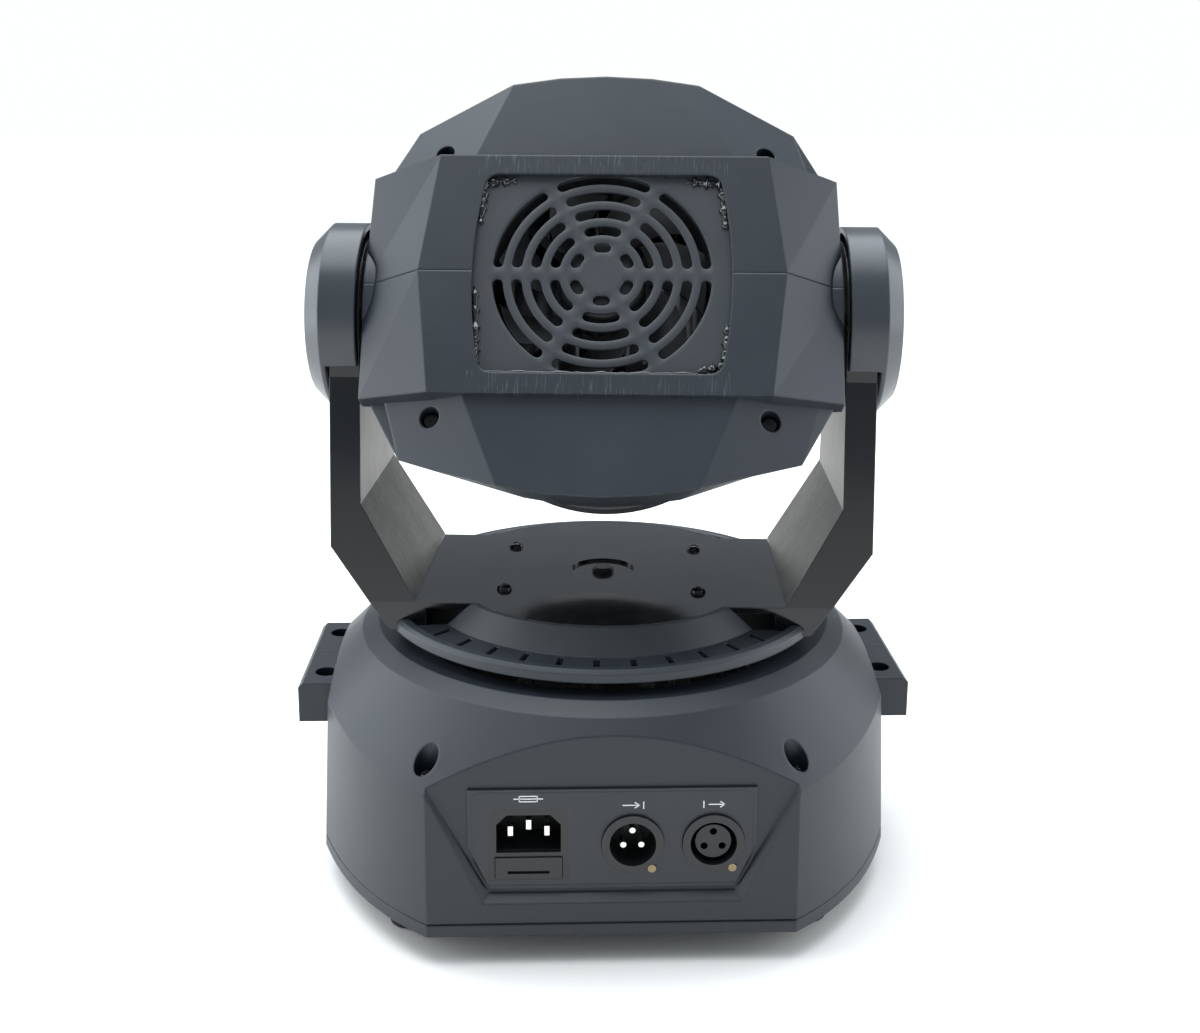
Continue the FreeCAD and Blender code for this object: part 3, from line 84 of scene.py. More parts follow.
def makePiece(name, sheets, place, finish, body, replaced=(), sharp=38):
    # sheets are pairs of points and faces: joined, their doubles merged, their faces turned outwards
    points, faces, count = [], [], 0
    for sheetPoints, sheetFaces in sheets:
        flat = sheetPoints.reshape(-1, 3)
        points.append(flat)
        faces += (sheetFaces + count).tolist()
        count += len(flat)
    mesh = bpy.data.meshes.new(name)
    mesh.from_pydata(place(np.concatenate(points)).tolist(), [], faces)
    solid = bmesh.new()
    solid.from_mesh(mesh)
    bmesh.ops.remove_doubles(solid, verts=solid.verts, dist=3e-6)
    bmesh.ops.dissolve_degenerate(solid, edges=solid.edges, dist=1e-7)
    bmesh.ops.recalc_face_normals(solid, faces=solid.faces)
    solid.to_mesh(mesh)
    solid.free()
    mesh.shade_smooth()
    mesh.set_sharp_from_angle(angle=math.radians(sharp))
    mesh.materials.append(finish)
    piece = bpy.data.objects.new(name, mesh)
    bpy.context.scene.collection.objects.link(piece)
    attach(piece, body)
    if replaced:
        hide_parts(*replaced)
    return piece


def capFan(ring):
    # a closed ring of points filled in to its middle
    middle = ring.mean(0, keepdims=True)
    count = len(ring)
    step = np.arange(count)
    faces = np.stack([step, (step + 1) % count, np.full(count, count)], -1)
    return np.concatenate([ring, middle]), faces


def turnedSheet(profile, steps=96):
    # a profile of (radius, height) pairs turned about the upright axis
    profile = np.asarray(profile, float)
    angle = np.linspace(0, 2 * math.pi, steps, endpoint=False)
    radius, height = profile[:, 0:1], profile[:, 1:2]
    points = np.stack([radius * np.cos(angle), radius * np.sin(angle), height + 0 * angle], -1)
    return points, gridFaces(len(profile), steps, closeCols=True)


def moved(sheet, across=0, along=0, up=0):
    points, faces = sheet
    return points + np.array([across, along, up], float), faces


# shader groups

def newGroup(name, inputs, outputs):
    group = bpy.data.node_groups.new(name, "ShaderNodeTree")
    for label, kind, value in inputs:
        socket = group.interface.new_socket(label, in_out="INPUT", socket_type="NodeSocket" + kind)
        if value is not None:
            socket.default_value = value
    for label, kind in outputs:
        group.interface.new_socket(label, in_out="OUTPUT", socket_type="NodeSocket" + kind)
    return group, group.nodes.new("NodeGroupInput"), group.nodes.new("NodeGroupOutput")


def addNode(tree, kind, values=None, **settings):
    node = tree.nodes.new("ShaderNode" + kind)
    for key, value in settings.items():
        setattr(node, key, value)
    for key, value in (values or {}).items():
        node.inputs[key].default_value = value
    return node


def wire(tree, *pairs):
    for start, end in pairs:
        tree.links.new(start, end)


def arithmetic(tree, operation, first, second=None, clamp=False):
    node = addNode(tree, "Math", operation=operation, use_clamp=clamp)
    for slotIndex, value in enumerate((first, second)):
        if value is None:
            continue
        if isinstance(value, (int, float)):
            node.inputs[slotIndex].default_value = value
        else:
            tree.links.new(value, node.inputs[slotIndex])
    return node.outputs[0]


def buildGrain():
    # fine moulded grain: small cells and noise for height, broad soft noise for tone
    takes = [("Vector", "Vector", None), ("Fineness", "Float", 2400.0), ("Mottle", "Float", 0.5)]
    group, source, sink = newGroup("fineGrain", takes, [("Height", "Float"), ("Tone", "Float")])
    speck = addNode(group, "TexNoise", {"Detail": 2.0, "Roughness": 0.6})
    cell = addNode(group, "TexVoronoi", feature="SMOOTH_F1")
    broad = addNode(group, "TexNoise", {"Scale": 22.0, "Detail": 4.0, "Roughness": 0.55})
    wire(group, *((source.outputs["Vector"], noise.inputs["Vector"]) for noise in (speck, cell, broad)))
    wire(group, (source.outputs["Fineness"], speck.inputs["Scale"]),
         (arithmetic(group, "MULTIPLY", source.outputs["Fineness"], 0.7), cell.inputs["Scale"]))
    height = arithmetic(group, "MULTIPLY", speck.outputs[0], 0.5)
    total = arithmetic(group, "ADD", height, arithmetic(group, "MULTIPLY", cell.outputs["Distance"], 0.6))
    swing = arithmetic(group, "SUBTRACT", broad.outputs[0], 0.5)
    swing = arithmetic(group, "MULTIPLY", swing, source.outputs["Mottle"])
    wire(group, (total, sink.inputs["Height"]),
         (arithmetic(group, "ADD", swing, 0.5, True), sink.inputs["Tone"]))
    return group


def buildEdgeWear():
    # where a rounded normal leaves the true one there is an edge; broken up by noise
    takes = [("Vector", "Vector", None), ("Reach", "Float", 0.0008), ("Amount", "Float", 1.0)]
    group, source, sink = newGroup("edgeWear", takes, [("Mask", "Float")])
    rounded = addNode(group, "Bevel", samples=4)
    true = addNode(group, "NewGeometry")
    dot = addNode(group, "VectorMath", operation="DOT_PRODUCT")
    patch = addNode(group, "TexNoise", {"Scale": 130.0, "Detail": 5.0, "Roughness": 0.7})
    wire(group, (source.outputs["Reach"], rounded.inputs["Radius"]), (rounded.outputs[0], dot.inputs[0]),
         (true.outputs["Normal"], dot.inputs[1]), (source.outputs["Vector"], patch.inputs["Vector"]))
    bend = arithmetic(group, "MULTIPLY", arithmetic(group, "SUBTRACT", 1.0, dot.outputs["Value"]), 5.0, True)
    broken = arithmetic(group, "MULTIPLY", arithmetic(group, "SUBTRACT", patch.outputs[0], 0.36), 2.6, True)
    edge = arithmetic(group, "MULTIPLY", bend, broken)
    mask = arithmetic(group, "MULTIPLY", edge, source.outputs["Amount"], True)
    wire(group, (mask, sink.inputs["Mask"]))
    return group


def buildDust():
    # a thin settled film on faces that look up, thicker in patches
    takes = [("Vector", "Vector", None), ("Normal", "Vector", None), ("Amount", "Float", 0.2)]
    group, source, sink = newGroup("settledDust", takes, [("Mask", "Float")])
    split = addNode(group, "SeparateXYZ")
    patch = addNode(group, "TexNoise", {"Scale": 48.0, "Detail": 6.0, "Roughness": 0.65})
    fleck = addNode(group, "TexNoise", {"Scale": 900.0, "Detail": 1.0})
    wire(group, (source.outputs["Normal"], split.inputs[0]), (source.outputs["Vector"], patch.inputs["Vector"]),
         (source.outputs["Vector"], fleck.inputs["Vector"]))
    upward = arithmetic(group, "MULTIPLY", arithmetic(group, "SUBTRACT", split.outputs["Z"], 0.25), 1.3, True)
    film = arithmetic(group, "MULTIPLY", arithmetic(group, "SUBTRACT", patch.outputs[0], 0.3), 1.6, True)
    specks = arithmetic(group, "MULTIPLY", arithmetic(group, "SUBTRACT", fleck.outputs[0], 0.66), 9.0, True)
    cover = arithmetic(group, "MULTIPLY", upward, arithmetic(group, "ADD", film, specks))
    wire(group, (arithmetic(group, "MULTIPLY", cover, source.outputs["Amount"], True), sink.inputs["Mask"]))
    return group


def buildStreaks():
    # noise drawn out along one direction by unequal scales, for brushed and rolled metal
    takes = [("Vector", "Vector", None), ("Stretch", "Vector", (900.0, 900.0, 20.0))]
    group, source, sink = newGroup("drawnStreaks", takes, [("Height", "Float"), ("Tone", "Float")])
    stretch = addNode(group, "VectorMath", operation="MULTIPLY")
    fine = addNode(group, "TexNoise", {"Scale": 1.0, "Detail": 3.0, "Roughness": 0.6})
    slow = addNode(group, "VectorMath", operation="MULTIPLY")
    slow.inputs[1].default_value = (0.07, 0.07, 0.3)
    broad = addNode(group, "TexNoise", {"Scale": 1.0, "Detail": 4.0, "Roughness": 0.6})
    wire(group, (source.outputs["Vector"], stretch.inputs[0]), (source.outputs["Stretch"], stretch.inputs[1]),
         (stretch.outputs[0], fine.inputs["Vector"]), (stretch.outputs[0], slow.inputs[0]),
         (slow.outputs[0], broad.inputs["Vector"]), (fine.outputs[0], sink.inputs["Height"]))
    both = arithmetic(group, "ADD", arithmetic(group, "MULTIPLY", fine.outputs[0], 0.4),
                      arithmetic(group, "MULTIPLY", broad.outputs[0], 0.6))
    wire(group, (both, sink.inputs["Tone"]))
    return group


grainGroup, wearGroup, dustGroup, streakGroup = buildGrain(), buildEdgeWear(), buildDust(), buildStreaks()
print("shader groups built")


# finishes

bumpDepth = 0.0001


def groupNode(tree, group, values=None):
    return addNode(tree, "Group", values, node_tree=group)


def mixColour(tree, factor, first, second):
    node = addNode(tree, "Mix", data_type="RGBA")
    for socket, value in ((node.inputs[0], factor), (node.inputs[6], first), (node.inputs[7], second)):
        if isinstance(value, (tuple, float, int)):
            socket.default_value = (*value, 1.0) if isinstance(value, tuple) else value
        else:
            tree.links.new(value, socket)
    return node.outputs[2]


def startFinish(name, look):
    finish = bpy.data.materials.new(name)
    finish.use_nodes = True
    tree = finish.node_tree
    shader = tree.nodes["Principled BSDF"]
    for key in ("Metallic", "IOR", "Coat Weight", "Coat Roughness", "Transmission Weight"):
        if key in look:
            shader.inputs[key].default_value = look[key]
    finish.diffuse_color = (*look["dark"], 1.0)
    return finish, tree, shader, addNode(tree, "TexCoord")


def solidFinish(name, look):
    # a grained or streaked surface between two tones, rubbed pale at its edges, with a little dust on top
    finish, tree, shader, where = startFinish(name, look)
    spot = where.outputs["Object"]
    if "stretch" in look:
        texture = groupNode(tree, streakGroup, {"Stretch": look["stretch"]})
    else:
        texture = groupNode(tree, grainGroup, {"Fineness": look["fineness"], "Mottle": look["mottle"]})
    wire(tree, (spot, texture.inputs["Vector"]))
    colour = mixColour(tree, texture.outputs["Tone"], look["dark"], look["light"])
    if look.get("wear"):
        wear = groupNode(tree, wearGroup, {"Reach": look.get("wearReach", 0.0007), "Amount": look["wear"]})
        wire(tree, (spot, wear.inputs["Vector"]))
        colour = mixColour(tree, wear.outputs["Mask"], colour, look["rubbed"])
    if look.get("dust"):
        dust = groupNode(tree, dustGroup, {"Amount": look["dust"]})
        wire(tree, (spot, dust.inputs["Vector"]), (where.outputs["Normal"], dust.inputs["Normal"]))
        colour = mixColour(tree, dust.outputs["Mask"], colour, (0.32, 0.33, 0.34))
    rough = addNode(tree, "MapRange", {"To Min": look["rough"][0], "To Max": look["rough"][1]})
    soft = addNode(tree, "Bevel", {"Radius": look["soft"]}, samples=6)
    bump = addNode(tree, "Bump", {"Strength": look["relief"], "Distance": bumpDepth})
    wire(tree, (colour, shader.inputs["Base Color"]), (texture.outputs["Tone"], rough.inputs["Value"]),
         (rough.outputs[0], shader.inputs["Roughness"]), (texture.outputs["Height"], bump.inputs["Height"]),
         (soft.outputs[0], bump.inputs["Normal"]), (bump.outputs[0], shader.inputs["Normal"]))
    return finish


def clearFinish(name, look):
    # clear or smoked glass with faint smears in its gloss
    finish, tree, shader, where = startFinish(name, look)
    smear = groupNode(tree, grainGroup, {"Fineness": 60.0, "Mottle": 0.8})
    rough = addNode(tree, "MapRange", {"To Min": look["rough"][0], "To Max": look["rough"][1]})
    wire(tree, (where.outputs["Object"], smear.inputs["Vector"]),
         (smear.outputs["Tone"], rough.inputs["Value"]), (rough.outputs[0], shader.inputs["Roughness"]),
         (mixColour(tree, smear.outputs["Tone"], look["dark"], look["light"]), shader.inputs["Base Color"]))
    return finish


shellLook = {"dark": (0.016, 0.021, 0.028), "light": (0.028, 0.036, 0.046), "rubbed": (0.16, 0.17, 0.18),
    "wear": 0.22, "rough": (0.36, 0.50), "fineness": 2600.0, "mottle": 0.9, "relief": 0.22, "soft": 0.0011,
    "dust": 0.05}
shellPlastic = solidFinish("shellPlastic", shellLook)
# the arm caps' copy of the shell plastic is painted lighter: a painted highlight standing in for light falling
# on the caps
capPlasticPaintedHighlight = solidFinish("capPlasticPaintedHighlight", dict(shellLook, dark=(0.030, 0.036, 0.043),
    light=(0.046, 0.054, 0.063), rough=(0.26, 0.36)))
# the base shells' copy of the shell plastic is painted darker: painted shade standing in for the head's shadow
# falling on the base
basePlasticPaintedShade = solidFinish("basePlasticPaintedShade", dict(shellLook, dark=(0.007, 0.010, 0.015),
    light=(0.014, 0.020, 0.028), dust=0.02))
crescentPlastic = solidFinish("crescentPlastic", dict(shellLook, dark=(0.016, 0.020, 0.025), soft=0.0008))
blackCoat = solidFinish("blackCoat", {"dark": (0.010, 0.011, 0.013), "light": (0.018, 0.020, 0.023),
    "rubbed": (0.3, 0.3, 0.3), "wear": 0.35, "rough": (0.24, 0.38), "fineness": 900.0, "mottle": 1.0,
    "relief": 0.12, "soft": 0.0005, "dust": 0.08})
panelCoat = solidFinish("panelCoat", {"dark": (0.012, 0.016, 0.022), "light": (0.019, 0.024, 0.031),
    "rubbed": (0.25, 0.25, 0.25), "wear": 0.2, "rough": (0.34, 0.46), "fineness": 1800.0, "mottle": 0.6,
    "relief": 0.12, "soft": 0.0003})
guardCoat = solidFinish("guardCoat", {"dark": (0.020, 0.025, 0.030), "light": (0.034, 0.040, 0.046),
    "rubbed": (0.2, 0.2, 0.2), "wear": 0.25, "rough": (0.42, 0.55), "fineness": 1500.0, "mottle": 0.7,
    "relief": 0.2, "soft": 0.0003, "dust": 0.12})
turnedSteel = solidFinish("turnedSteel", {"dark": (0.46, 0.46, 0.45), "light": (0.66, 0.66, 0.65),
    "Metallic": 1.0, "rubbed": (0.8, 0.8, 0.8), "wear": 0.5, "rough": (0.18, 0.34),
    "stretch": (2400.0, 60.0, 60.0), "relief": 0.2, "soft": 0.0004})
screwSteel = solidFinish("screwSteel", {"dark": (0.018, 0.018, 0.020), "light": (0.05, 0.05, 0.053),
    "Metallic": 0.9, "rubbed": (0.55, 0.55, 0.55), "wear": 0.8, "wearReach": 0.0003, "rough": (0.16, 0.30),
    "fineness": 1600.0, "mottle": 1.0, "relief": 0.1, "soft": 0.00015})
rubberBlack = solidFinish("rubberBlack", {"dark": (0.010, 0.010, 0.011), "light": (0.020, 0.020, 0.021),
    "rubbed": (0.08, 0.08, 0.08), "wear": 0.5, "rough": (0.7, 0.85), "fineness": 1300.0, "mottle": 1.0,
    "relief": 0.4, "soft": 0.0008, "dust": 0.1})
socketNylon = solidFinish("socketNylon", {"dark": (0.007, 0.008, 0.009), "light": (0.014, 0.015, 0.017),
    "rubbed": (0.10, 0.10, 0.10), "wear": 0.3, "rough": (0.28, 0.38), "fineness": 2200.0, "mottle": 0.6,
    "relief": 0.1, "soft": 0.00025})
pinPlate = solidFinish("pinPlate", {"dark": (0.72, 0.71, 0.68), "light": (0.86, 0.85, 0.82),
    "Metallic": 1.0, "rubbed": (0.9, 0.9, 0.9), "wear": 0.3, "rough": (0.12, 0.24), "fineness": 2000.0,
    "mottle": 0.8, "relief": 0.05, "soft": 0.00025})
boardMask = solidFinish("boardMask", {"dark": (0.012, 0.060, 0.028), "light": (0.020, 0.095, 0.045),
    "rubbed": (0.5, 0.4, 0.2), "wear": 0.3, "rough": (0.28, 0.4), "fineness": 500.0, "mottle": 1.0,
    "relief": 0.3, "soft": 0.0003})
motorSteel = solidFinish("motorSteel", {"dark": (0.03, 0.03, 0.033), "light": (0.06, 0.06, 0.065),
    "Metallic": 0.6, "rubbed": (0.4, 0.4, 0.4), "wear": 0.5, "rough": (0.3, 0.42), "fineness": 900.0,
    "mottle": 1.0, "relief": 0.15, "soft": 0.0006})
millAlloy = solidFinish("millAlloy", {"dark": (0.60, 0.61, 0.62), "light": (0.80, 0.81, 0.82),
    "Metallic": 1.0, "rubbed": (0.92, 0.92, 0.92), "wear": 0.4, "rough": (0.22, 0.4),
    "stretch": (60.0, 60.0, 1800.0), "relief": 0.25, "soft": 0.0003})
fanPlastic = solidFinish("fanPlastic", {"dark": (0.018, 0.019, 0.021), "light": (0.032, 0.034, 0.037),
    "rubbed": (0.12, 0.12, 0.12), "wear": 0.3, "rough": (0.26, 0.38), "fineness": 1500.0, "mottle": 0.8,
    "relief": 0.1, "soft": 0.0005, "dust": 0.2})
emitterGel = solidFinish("emitterGel", {"dark": (0.72, 0.62, 0.20), "light": (0.86, 0.78, 0.36),
    "rough": (0.25, 0.4), "fineness": 1800.0, "mottle": 0.8, "relief": 0.2, "soft": 0.0003})
holderPlastic = solidFinish("holderPlastic", {"dark": (0.012, 0.012, 0.013), "light": (0.022, 0.022, 0.024),
    "rubbed": (0.1, 0.1, 0.1), "wear": 0.3, "rough": (0.4, 0.55), "fineness": 1500.0, "mottle": 0.8,
    "relief": 0.2, "soft": 0.0006})
bezelGloss = solidFinish("bezelGloss", {"dark": (0.006, 0.006, 0.007), "light": (0.012, 0.012, 0.014),
    "rubbed": (0.1, 0.1, 0.1), "wear": 0.15, "rough": (0.07, 0.16), "Coat Weight": 0.6,
    "Coat Roughness": 0.05, "fineness": 700.0, "mottle": 0.9, "relief": 0.04, "soft": 0.0009, "dust": 0.05})
glueGloss = solidFinish("glueGloss", {"dark": (0.004, 0.004, 0.005), "light": (0.010, 0.010, 0.011),
    "rough": (0.05, 0.18), "Coat Weight": 0.5, "Coat Roughness": 0.06, "fineness": 400.0, "mottle": 1.0,
    "relief": 0.5, "soft": 0.0002})
markWhite = solidFinish("markWhite", {"dark": (0.72, 0.74, 0.76), "light": (0.86, 0.87, 0.88),
    "rough": (0.4, 0.5), "fineness": 3000.0, "mottle": 0.6, "relief": 0.1, "soft": 0.0001})
brassTint = solidFinish("brassTint", {"dark": (0.16, 0.12, 0.07), "light": (0.30, 0.24, 0.14),
    "Metallic": 1.0, "rubbed": (0.8, 0.7, 0.5), "wear": 0.6, "wearReach": 0.0002, "rough": (0.2, 0.36),
    "fineness": 2500.0, "mottle": 1.0, "relief": 0.15, "soft": 0.00015})
smokedWindow = clearFinish("smokedWindow", {"dark": (0.02, 0.025, 0.03), "light": (0.03, 0.035, 0.04),
    "rough": (0.04, 0.12), "Transmission Weight": 0.5, "IOR": 1.49, "Coat Weight": 0.5})
clearLens = clearFinish("clearLens", {"dark": (0.90, 0.93, 0.96), "light": (0.96, 0.97, 0.98),
    "rough": (0.02, 0.07), "Transmission Weight": 0.95, "IOR": 1.49})
frontGlass = clearFinish("frontGlass", {"dark": (0.90, 0.93, 0.95), "light": (0.96, 0.97, 0.98),
    "rough": (0.02, 0.08), "Transmission Weight": 0.92, "IOR": 1.5})


def yokeFinish():
    # black satin coat, but bare rolled steel on the faces that look inwards between the arms
    look = {"dark": (0.003, 0.004, 0.005), "light": (0.007, 0.008, 0.010), "bareDark": (0.07, 0.062, 0.056),
            "bareLight": (0.20, 0.185, 0.17), "coatRough": (0.07, 0.17), "bareRough": (0.34, 0.52),
            "floor": 0.12, "rubbed": (0.35, 0.34, 0.33), "soft": 0.0006, "relief": 0.18}
    finish, tree, shader, where = startFinish("yokeSteel", look)
    spot = where.outputs["Object"]
    place, facing = addNode(tree, "SeparateXYZ"), addNode(tree, "SeparateXYZ")
    grain = groupNode(tree, grainGroup, {"Fineness": 700.0, "Mottle": 1.0})
    streak = groupNode(tree, streakGroup, {"Stretch": (500.0, 420.0, 28.0)})
    wear = groupNode(tree, wearGroup, {"Reach": 0.0005, "Amount": 0.5})
    dust = groupNode(tree, dustGroup, {"Amount": 0.10})
    wire(tree, (spot, place.inputs[0]), (where.outputs["Normal"], facing.inputs[0]),
         (where.outputs["Normal"], dust.inputs["Normal"]))
    wire(tree, *((spot, group.inputs["Vector"]) for group in (grain, streak, wear, dust)))
    side = arithmetic(tree, "MULTIPLY", arithmetic(tree, "SIGN", place.outputs["X"]), facing.outputs["X"])
    inward = arithmetic(tree, "LESS_THAN", side, -0.35)
    above = arithmetic(tree, "GREATER_THAN", place.outputs["Z"], look["floor"])
    bare = arithmetic(tree, "MULTIPLY", inward, above)
    patchy = arithmetic(tree, "MULTIPLY", arithmetic(tree, "SUBTRACT", streak.outputs["Tone"], 0.36), 3.4, True)
    coat = mixColour(tree, grain.outputs["Tone"], look["dark"], look["light"])
    steel = mixColour(tree, patchy, look["bareDark"], look["bareLight"])
    colour = mixColour(tree, bare, coat, steel)
    colour = mixColour(tree, wear.outputs["Mask"], colour, look["rubbed"])
    colour = mixColour(tree, dust.outputs["Mask"], colour, (0.3, 0.3, 0.3))
    coatRough, bareRough = (addNode(tree, "MapRange", {"To Min": look[key][0], "To Max": look[key][1]})
                            for key in ("coatRough", "bareRough"))
    rough = addNode(tree, "Mix", data_type="FLOAT")
    soft = addNode(tree, "Bevel", {"Radius": look["soft"]}, samples=6)
    bump = addNode(tree, "Bump", {"Strength": look["relief"], "Distance": bumpDepth})
    wire(tree, (grain.outputs["Tone"], coatRough.inputs["Value"]),
         (streak.outputs["Tone"], bareRough.inputs["Value"]), (bare, rough.inputs[0]),
         (coatRough.outputs[0], rough.inputs[2]), (bareRough.outputs[0], rough.inputs[3]),
         (rough.outputs[0], shader.inputs["Roughness"]), (colour, shader.inputs["Base Color"]),
         (arithmetic(tree, "MULTIPLY", bare, 0.85), shader.inputs["Metallic"]),
         (streak.outputs["Height"], bump.inputs["Height"]), (soft.outputs[0], bump.inputs["Normal"]),
         (bump.outputs[0], shader.inputs["Normal"]))
    return finish


yokeSteel = yokeFinish()


def bandFinish():
    # the shell's plastic, with fine upright scuffs above and below the guard where the cover has been rubbed
    look = dict(shellLook, dark=(0.011, 0.015, 0.021), light=(0.020, 0.027, 0.035),
                rubMark=(0.10, 0.115, 0.13), reach=0.052, near=0.0425, far=0.053, amount=0.75)
    finish = solidFinish("bandPlastic", look)
    tree = finish.node_tree
    shader = tree.nodes["Principled BSDF"]
    where = addNode(tree, "TexCoord")
    level = addNode(tree, "Mapping", vector_type="TEXTURE")
    level.inputs["Location"].default_value = (0, 0, tiltHigh * mm)
    level.inputs["Rotation"].default_value = (tiltRest, 0, panRest)
    split = addNode(tree, "SeparateXYZ")
    streak = groupNode(tree, streakGroup, {"Stretch": (1500.0, 60.0, 90.0)})
    wire(tree, (where.outputs["Object"], level.inputs["Vector"]), (level.outputs[0], split.inputs[0]),
         (level.outputs[0], streak.inputs["Vector"]))
    height = arithmetic(tree, "ABSOLUTE", split.outputs["Z"])
    band = arithmetic(tree, "MULTIPLY", arithmetic(tree, "GREATER_THAN", height, look["near"]),
                      arithmetic(tree, "LESS_THAN", height, look["far"]))
    across = arithmetic(tree, "LESS_THAN", arithmetic(tree, "ABSOLUTE", split.outputs["X"]), look["reach"])
    scratch = arithmetic(tree, "SUBTRACT", streak.outputs["Height"], 0.56)
    scratch = arithmetic(tree, "MULTIPLY", scratch, 7.0, True)
    mask = arithmetic(tree, "MULTIPLY", arithmetic(tree, "MULTIPLY", band, across),
                      arithmetic(tree, "MULTIPLY", scratch, look["amount"]), True)
    plain = shader.inputs["Base Color"].links[0].from_socket
    wire(tree, (mixColour(tree, mask, plain, look["rubMark"]), shader.inputs["Base Color"]))
    return finish


bandPlastic = bandFinish()

finishOf = {
    shellPlastic: "head_upper_shell head_lower_shell",
    basePlasticPaintedShade: "base_rear_shell base_front_shell",
    bandPlastic: "rear_cover_upper rear_cover_lower",
    capPlasticPaintedHighlight: "arm_cap_left arm_cap_right",
    crescentPlastic: "crescent_cover_rear crescent_cover_front",
    yokeSteel: "yoke_bracket",
    blackCoat: "bottom_tray turntable_disc pan_motor_bracket",
    panelCoat: "connector_plate control_panel",
    guardCoat: "fan_grille",
    turnedSteel: "bearing_plate pan_bearing pan_shaft tilt_shafts tilt_bearings",
    screwSteel: "base_shell_screws plate_screws head_screws",
    brassTint: "socket_screws",
    rubberBlack: "rubber_feet pan_belt tilt_belt",
    socketNylon: "mains_inlet fuse_drawer signal_input signal_output centre_plug menu_button up_button"
                 " down_button enter_button",
    pinPlate: "contact_pins fuse",
    smokedWindow: "display_window",
    boardMask: "display_board power_supply control_board driver_board",
    motorSteel: "pan_motor tilt_motor",
    millAlloy: "pan_pulley pan_pinion tilt_pulley tilt_pinion heatsink led_board",
    fanPlastic: "fan_frame fan_rotor",
    emitterGel: "light_sources",
    clearLens: "lens_set",
    holderPlastic: "lens_holder",
    bezelGloss: "front_bezel",
    frontGlass: "front_glass",
}
for finish, names in finishOf.items():
    for name in names.split():
        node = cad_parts[name]
        node.data.materials.clear()
        node.data.materials.append(finish)
print("finishes placed on", sum(len(names.split()) for names in finishOf.values()), "nodes")


# fan guard

guard = {"back": -47.9, "thick": 1.5, "firstRing": 11.5, "pitch": 7.6, "rings": 5, "slotWide": 4.2,
         "ribWide": 5.0, "edge": 0.35, "halfWide": 53.8, "halfHigh": 45.0, "arcPoints": 22, "endPoints": 11}


def slotLoop(radius, half, sector):
    # an arc-shaped slot's outline: an outer arc, a half-round end, an inner arc and a half-round end
    lean = math.asin((guard["ribWide"] / 2 + guard["slotWide"] / 2) / radius)
    start, stop = math.radians(60 * sector) + lean, math.radians(60 * sector + 60) - lean
    arc = np.linspace(start, stop, guard["arcPoints"])
    swing = np.linspace(0, math.pi, guard["endPoints"] + 2)[1:-1]
    outer = np.stack([(radius + half) * np.cos(arc), (radius + half) * np.sin(arc)], -1)
    inner = np.stack([(radius - half) * np.cos(arc[::-1]), (radius - half) * np.sin(arc[::-1])], -1)
    ends = []
    for angle, way in ((stop, 1), (start, -1)):
        middle = radius * np.array([math.cos(angle), math.sin(angle)])
        outward = middle / radius
        onward = np.array([-outward[1], outward[0]]) * way
        ends.append(middle + half * (np.outer(way * np.cos(swing), outward) + np.outer(np.sin(swing), onward)))
    return np.concatenate([outer, ends[0], inner, ends[1]])


def cellLoop(low, high, sector):
    # the patch of plate round one slot: an outer arc, a straight side, an inner arc and a straight side
    arc = np.radians(np.linspace(60 * sector, 60 * sector + 60, guard["arcPoints"]))
    side = np.linspace(high, low, guard["endPoints"] + 2)[1:-1]
    start, stop = arc[0], arc[-1]
    return np.concatenate([np.stack([high * np.cos(arc), high * np.sin(arc)], -1),
                           np.stack([side * math.cos(stop), side * math.sin(stop)], -1),
                           np.stack([low * np.cos(arc[::-1]), low * np.sin(arc[::-1])], -1),
                           np.stack([side[::-1] * math.cos(start), side[::-1] * math.sin(start)], -1)])


def atLevel(loop, level):
    return np.concatenate([loop, np.full((len(loop), 1), level)], -1)


def loopSheet(levels):
    # closed loops of equal count, each at its own level, joined one to the next
    points = np.stack([atLevel(loop, level) for loop, level in levels])
    return points, gridFaces(len(levels), points.shape[1], closeCols=True)


def guardSheets():
    # six sectors of ringed slots with rolled edges, a plain border and a closed hub
    sheets = []
    back, front, edge = guard["back"], guard["back"] + guard["thick"], guard["edge"]
    half = guard["slotWide"] / 2
    for ring in range(guard["rings"]):
        radius = guard["firstRing"] + guard["pitch"] * ring
        low, high = radius - guard["pitch"] / 2, radius + guard["pitch"] / 2
        for sector in range(6):
            levels = [(cellLoop(low, high, sector), back),
                      (slotLoop(radius, half + edge, sector), back),
                      (slotLoop(radius, half + edge * 0.3, sector), back + edge * 0.3),
                      (slotLoop(radius, half, sector), back + edge),
                      (slotLoop(radius, half, sector), front),
                      (cellLoop(low, high, sector), front)]
            sheets.append(loopSheet(levels))
    # the plain plate outside the last ring runs out to a square-cornered outline
    spread = [np.linspace(60 * k, 60 * k + 60, guard["arcPoints"]) for k in range(6)]
    angle = np.radians(np.unique(np.round(np.concatenate(spread), 6))[:-1])
    last = guard["firstRing"] + guard["pitch"] * (guard["rings"] - 0.5)
    square = 1 / np.maximum(np.abs(np.cos(angle)) / guard["halfWide"],
                            np.abs(np.sin(angle)) / guard["halfHigh"])
    rim = np.stack([last * np.cos(angle), last * np.sin(angle)], -1)
    outline = np.stack([square * np.cos(angle), square * np.sin(angle)], -1)
    sheets.append(loopSheet([(rim, back), (outline, back), (outline, front), (rim, front)]))
    hub = (guard["firstRing"] - guard["pitch"] / 2) * np.stack([np.cos(angle), np.sin(angle)], -1)
    return sheets + [capFan(atLevel(hub, level)) for level in (back, front)]


makePiece("fanGuard", guardSheets(), headPlace, guardCoat, "head", ("fan_grille",), 50)
print("fan guard built")


# cross-head screws

screwSteps = 112


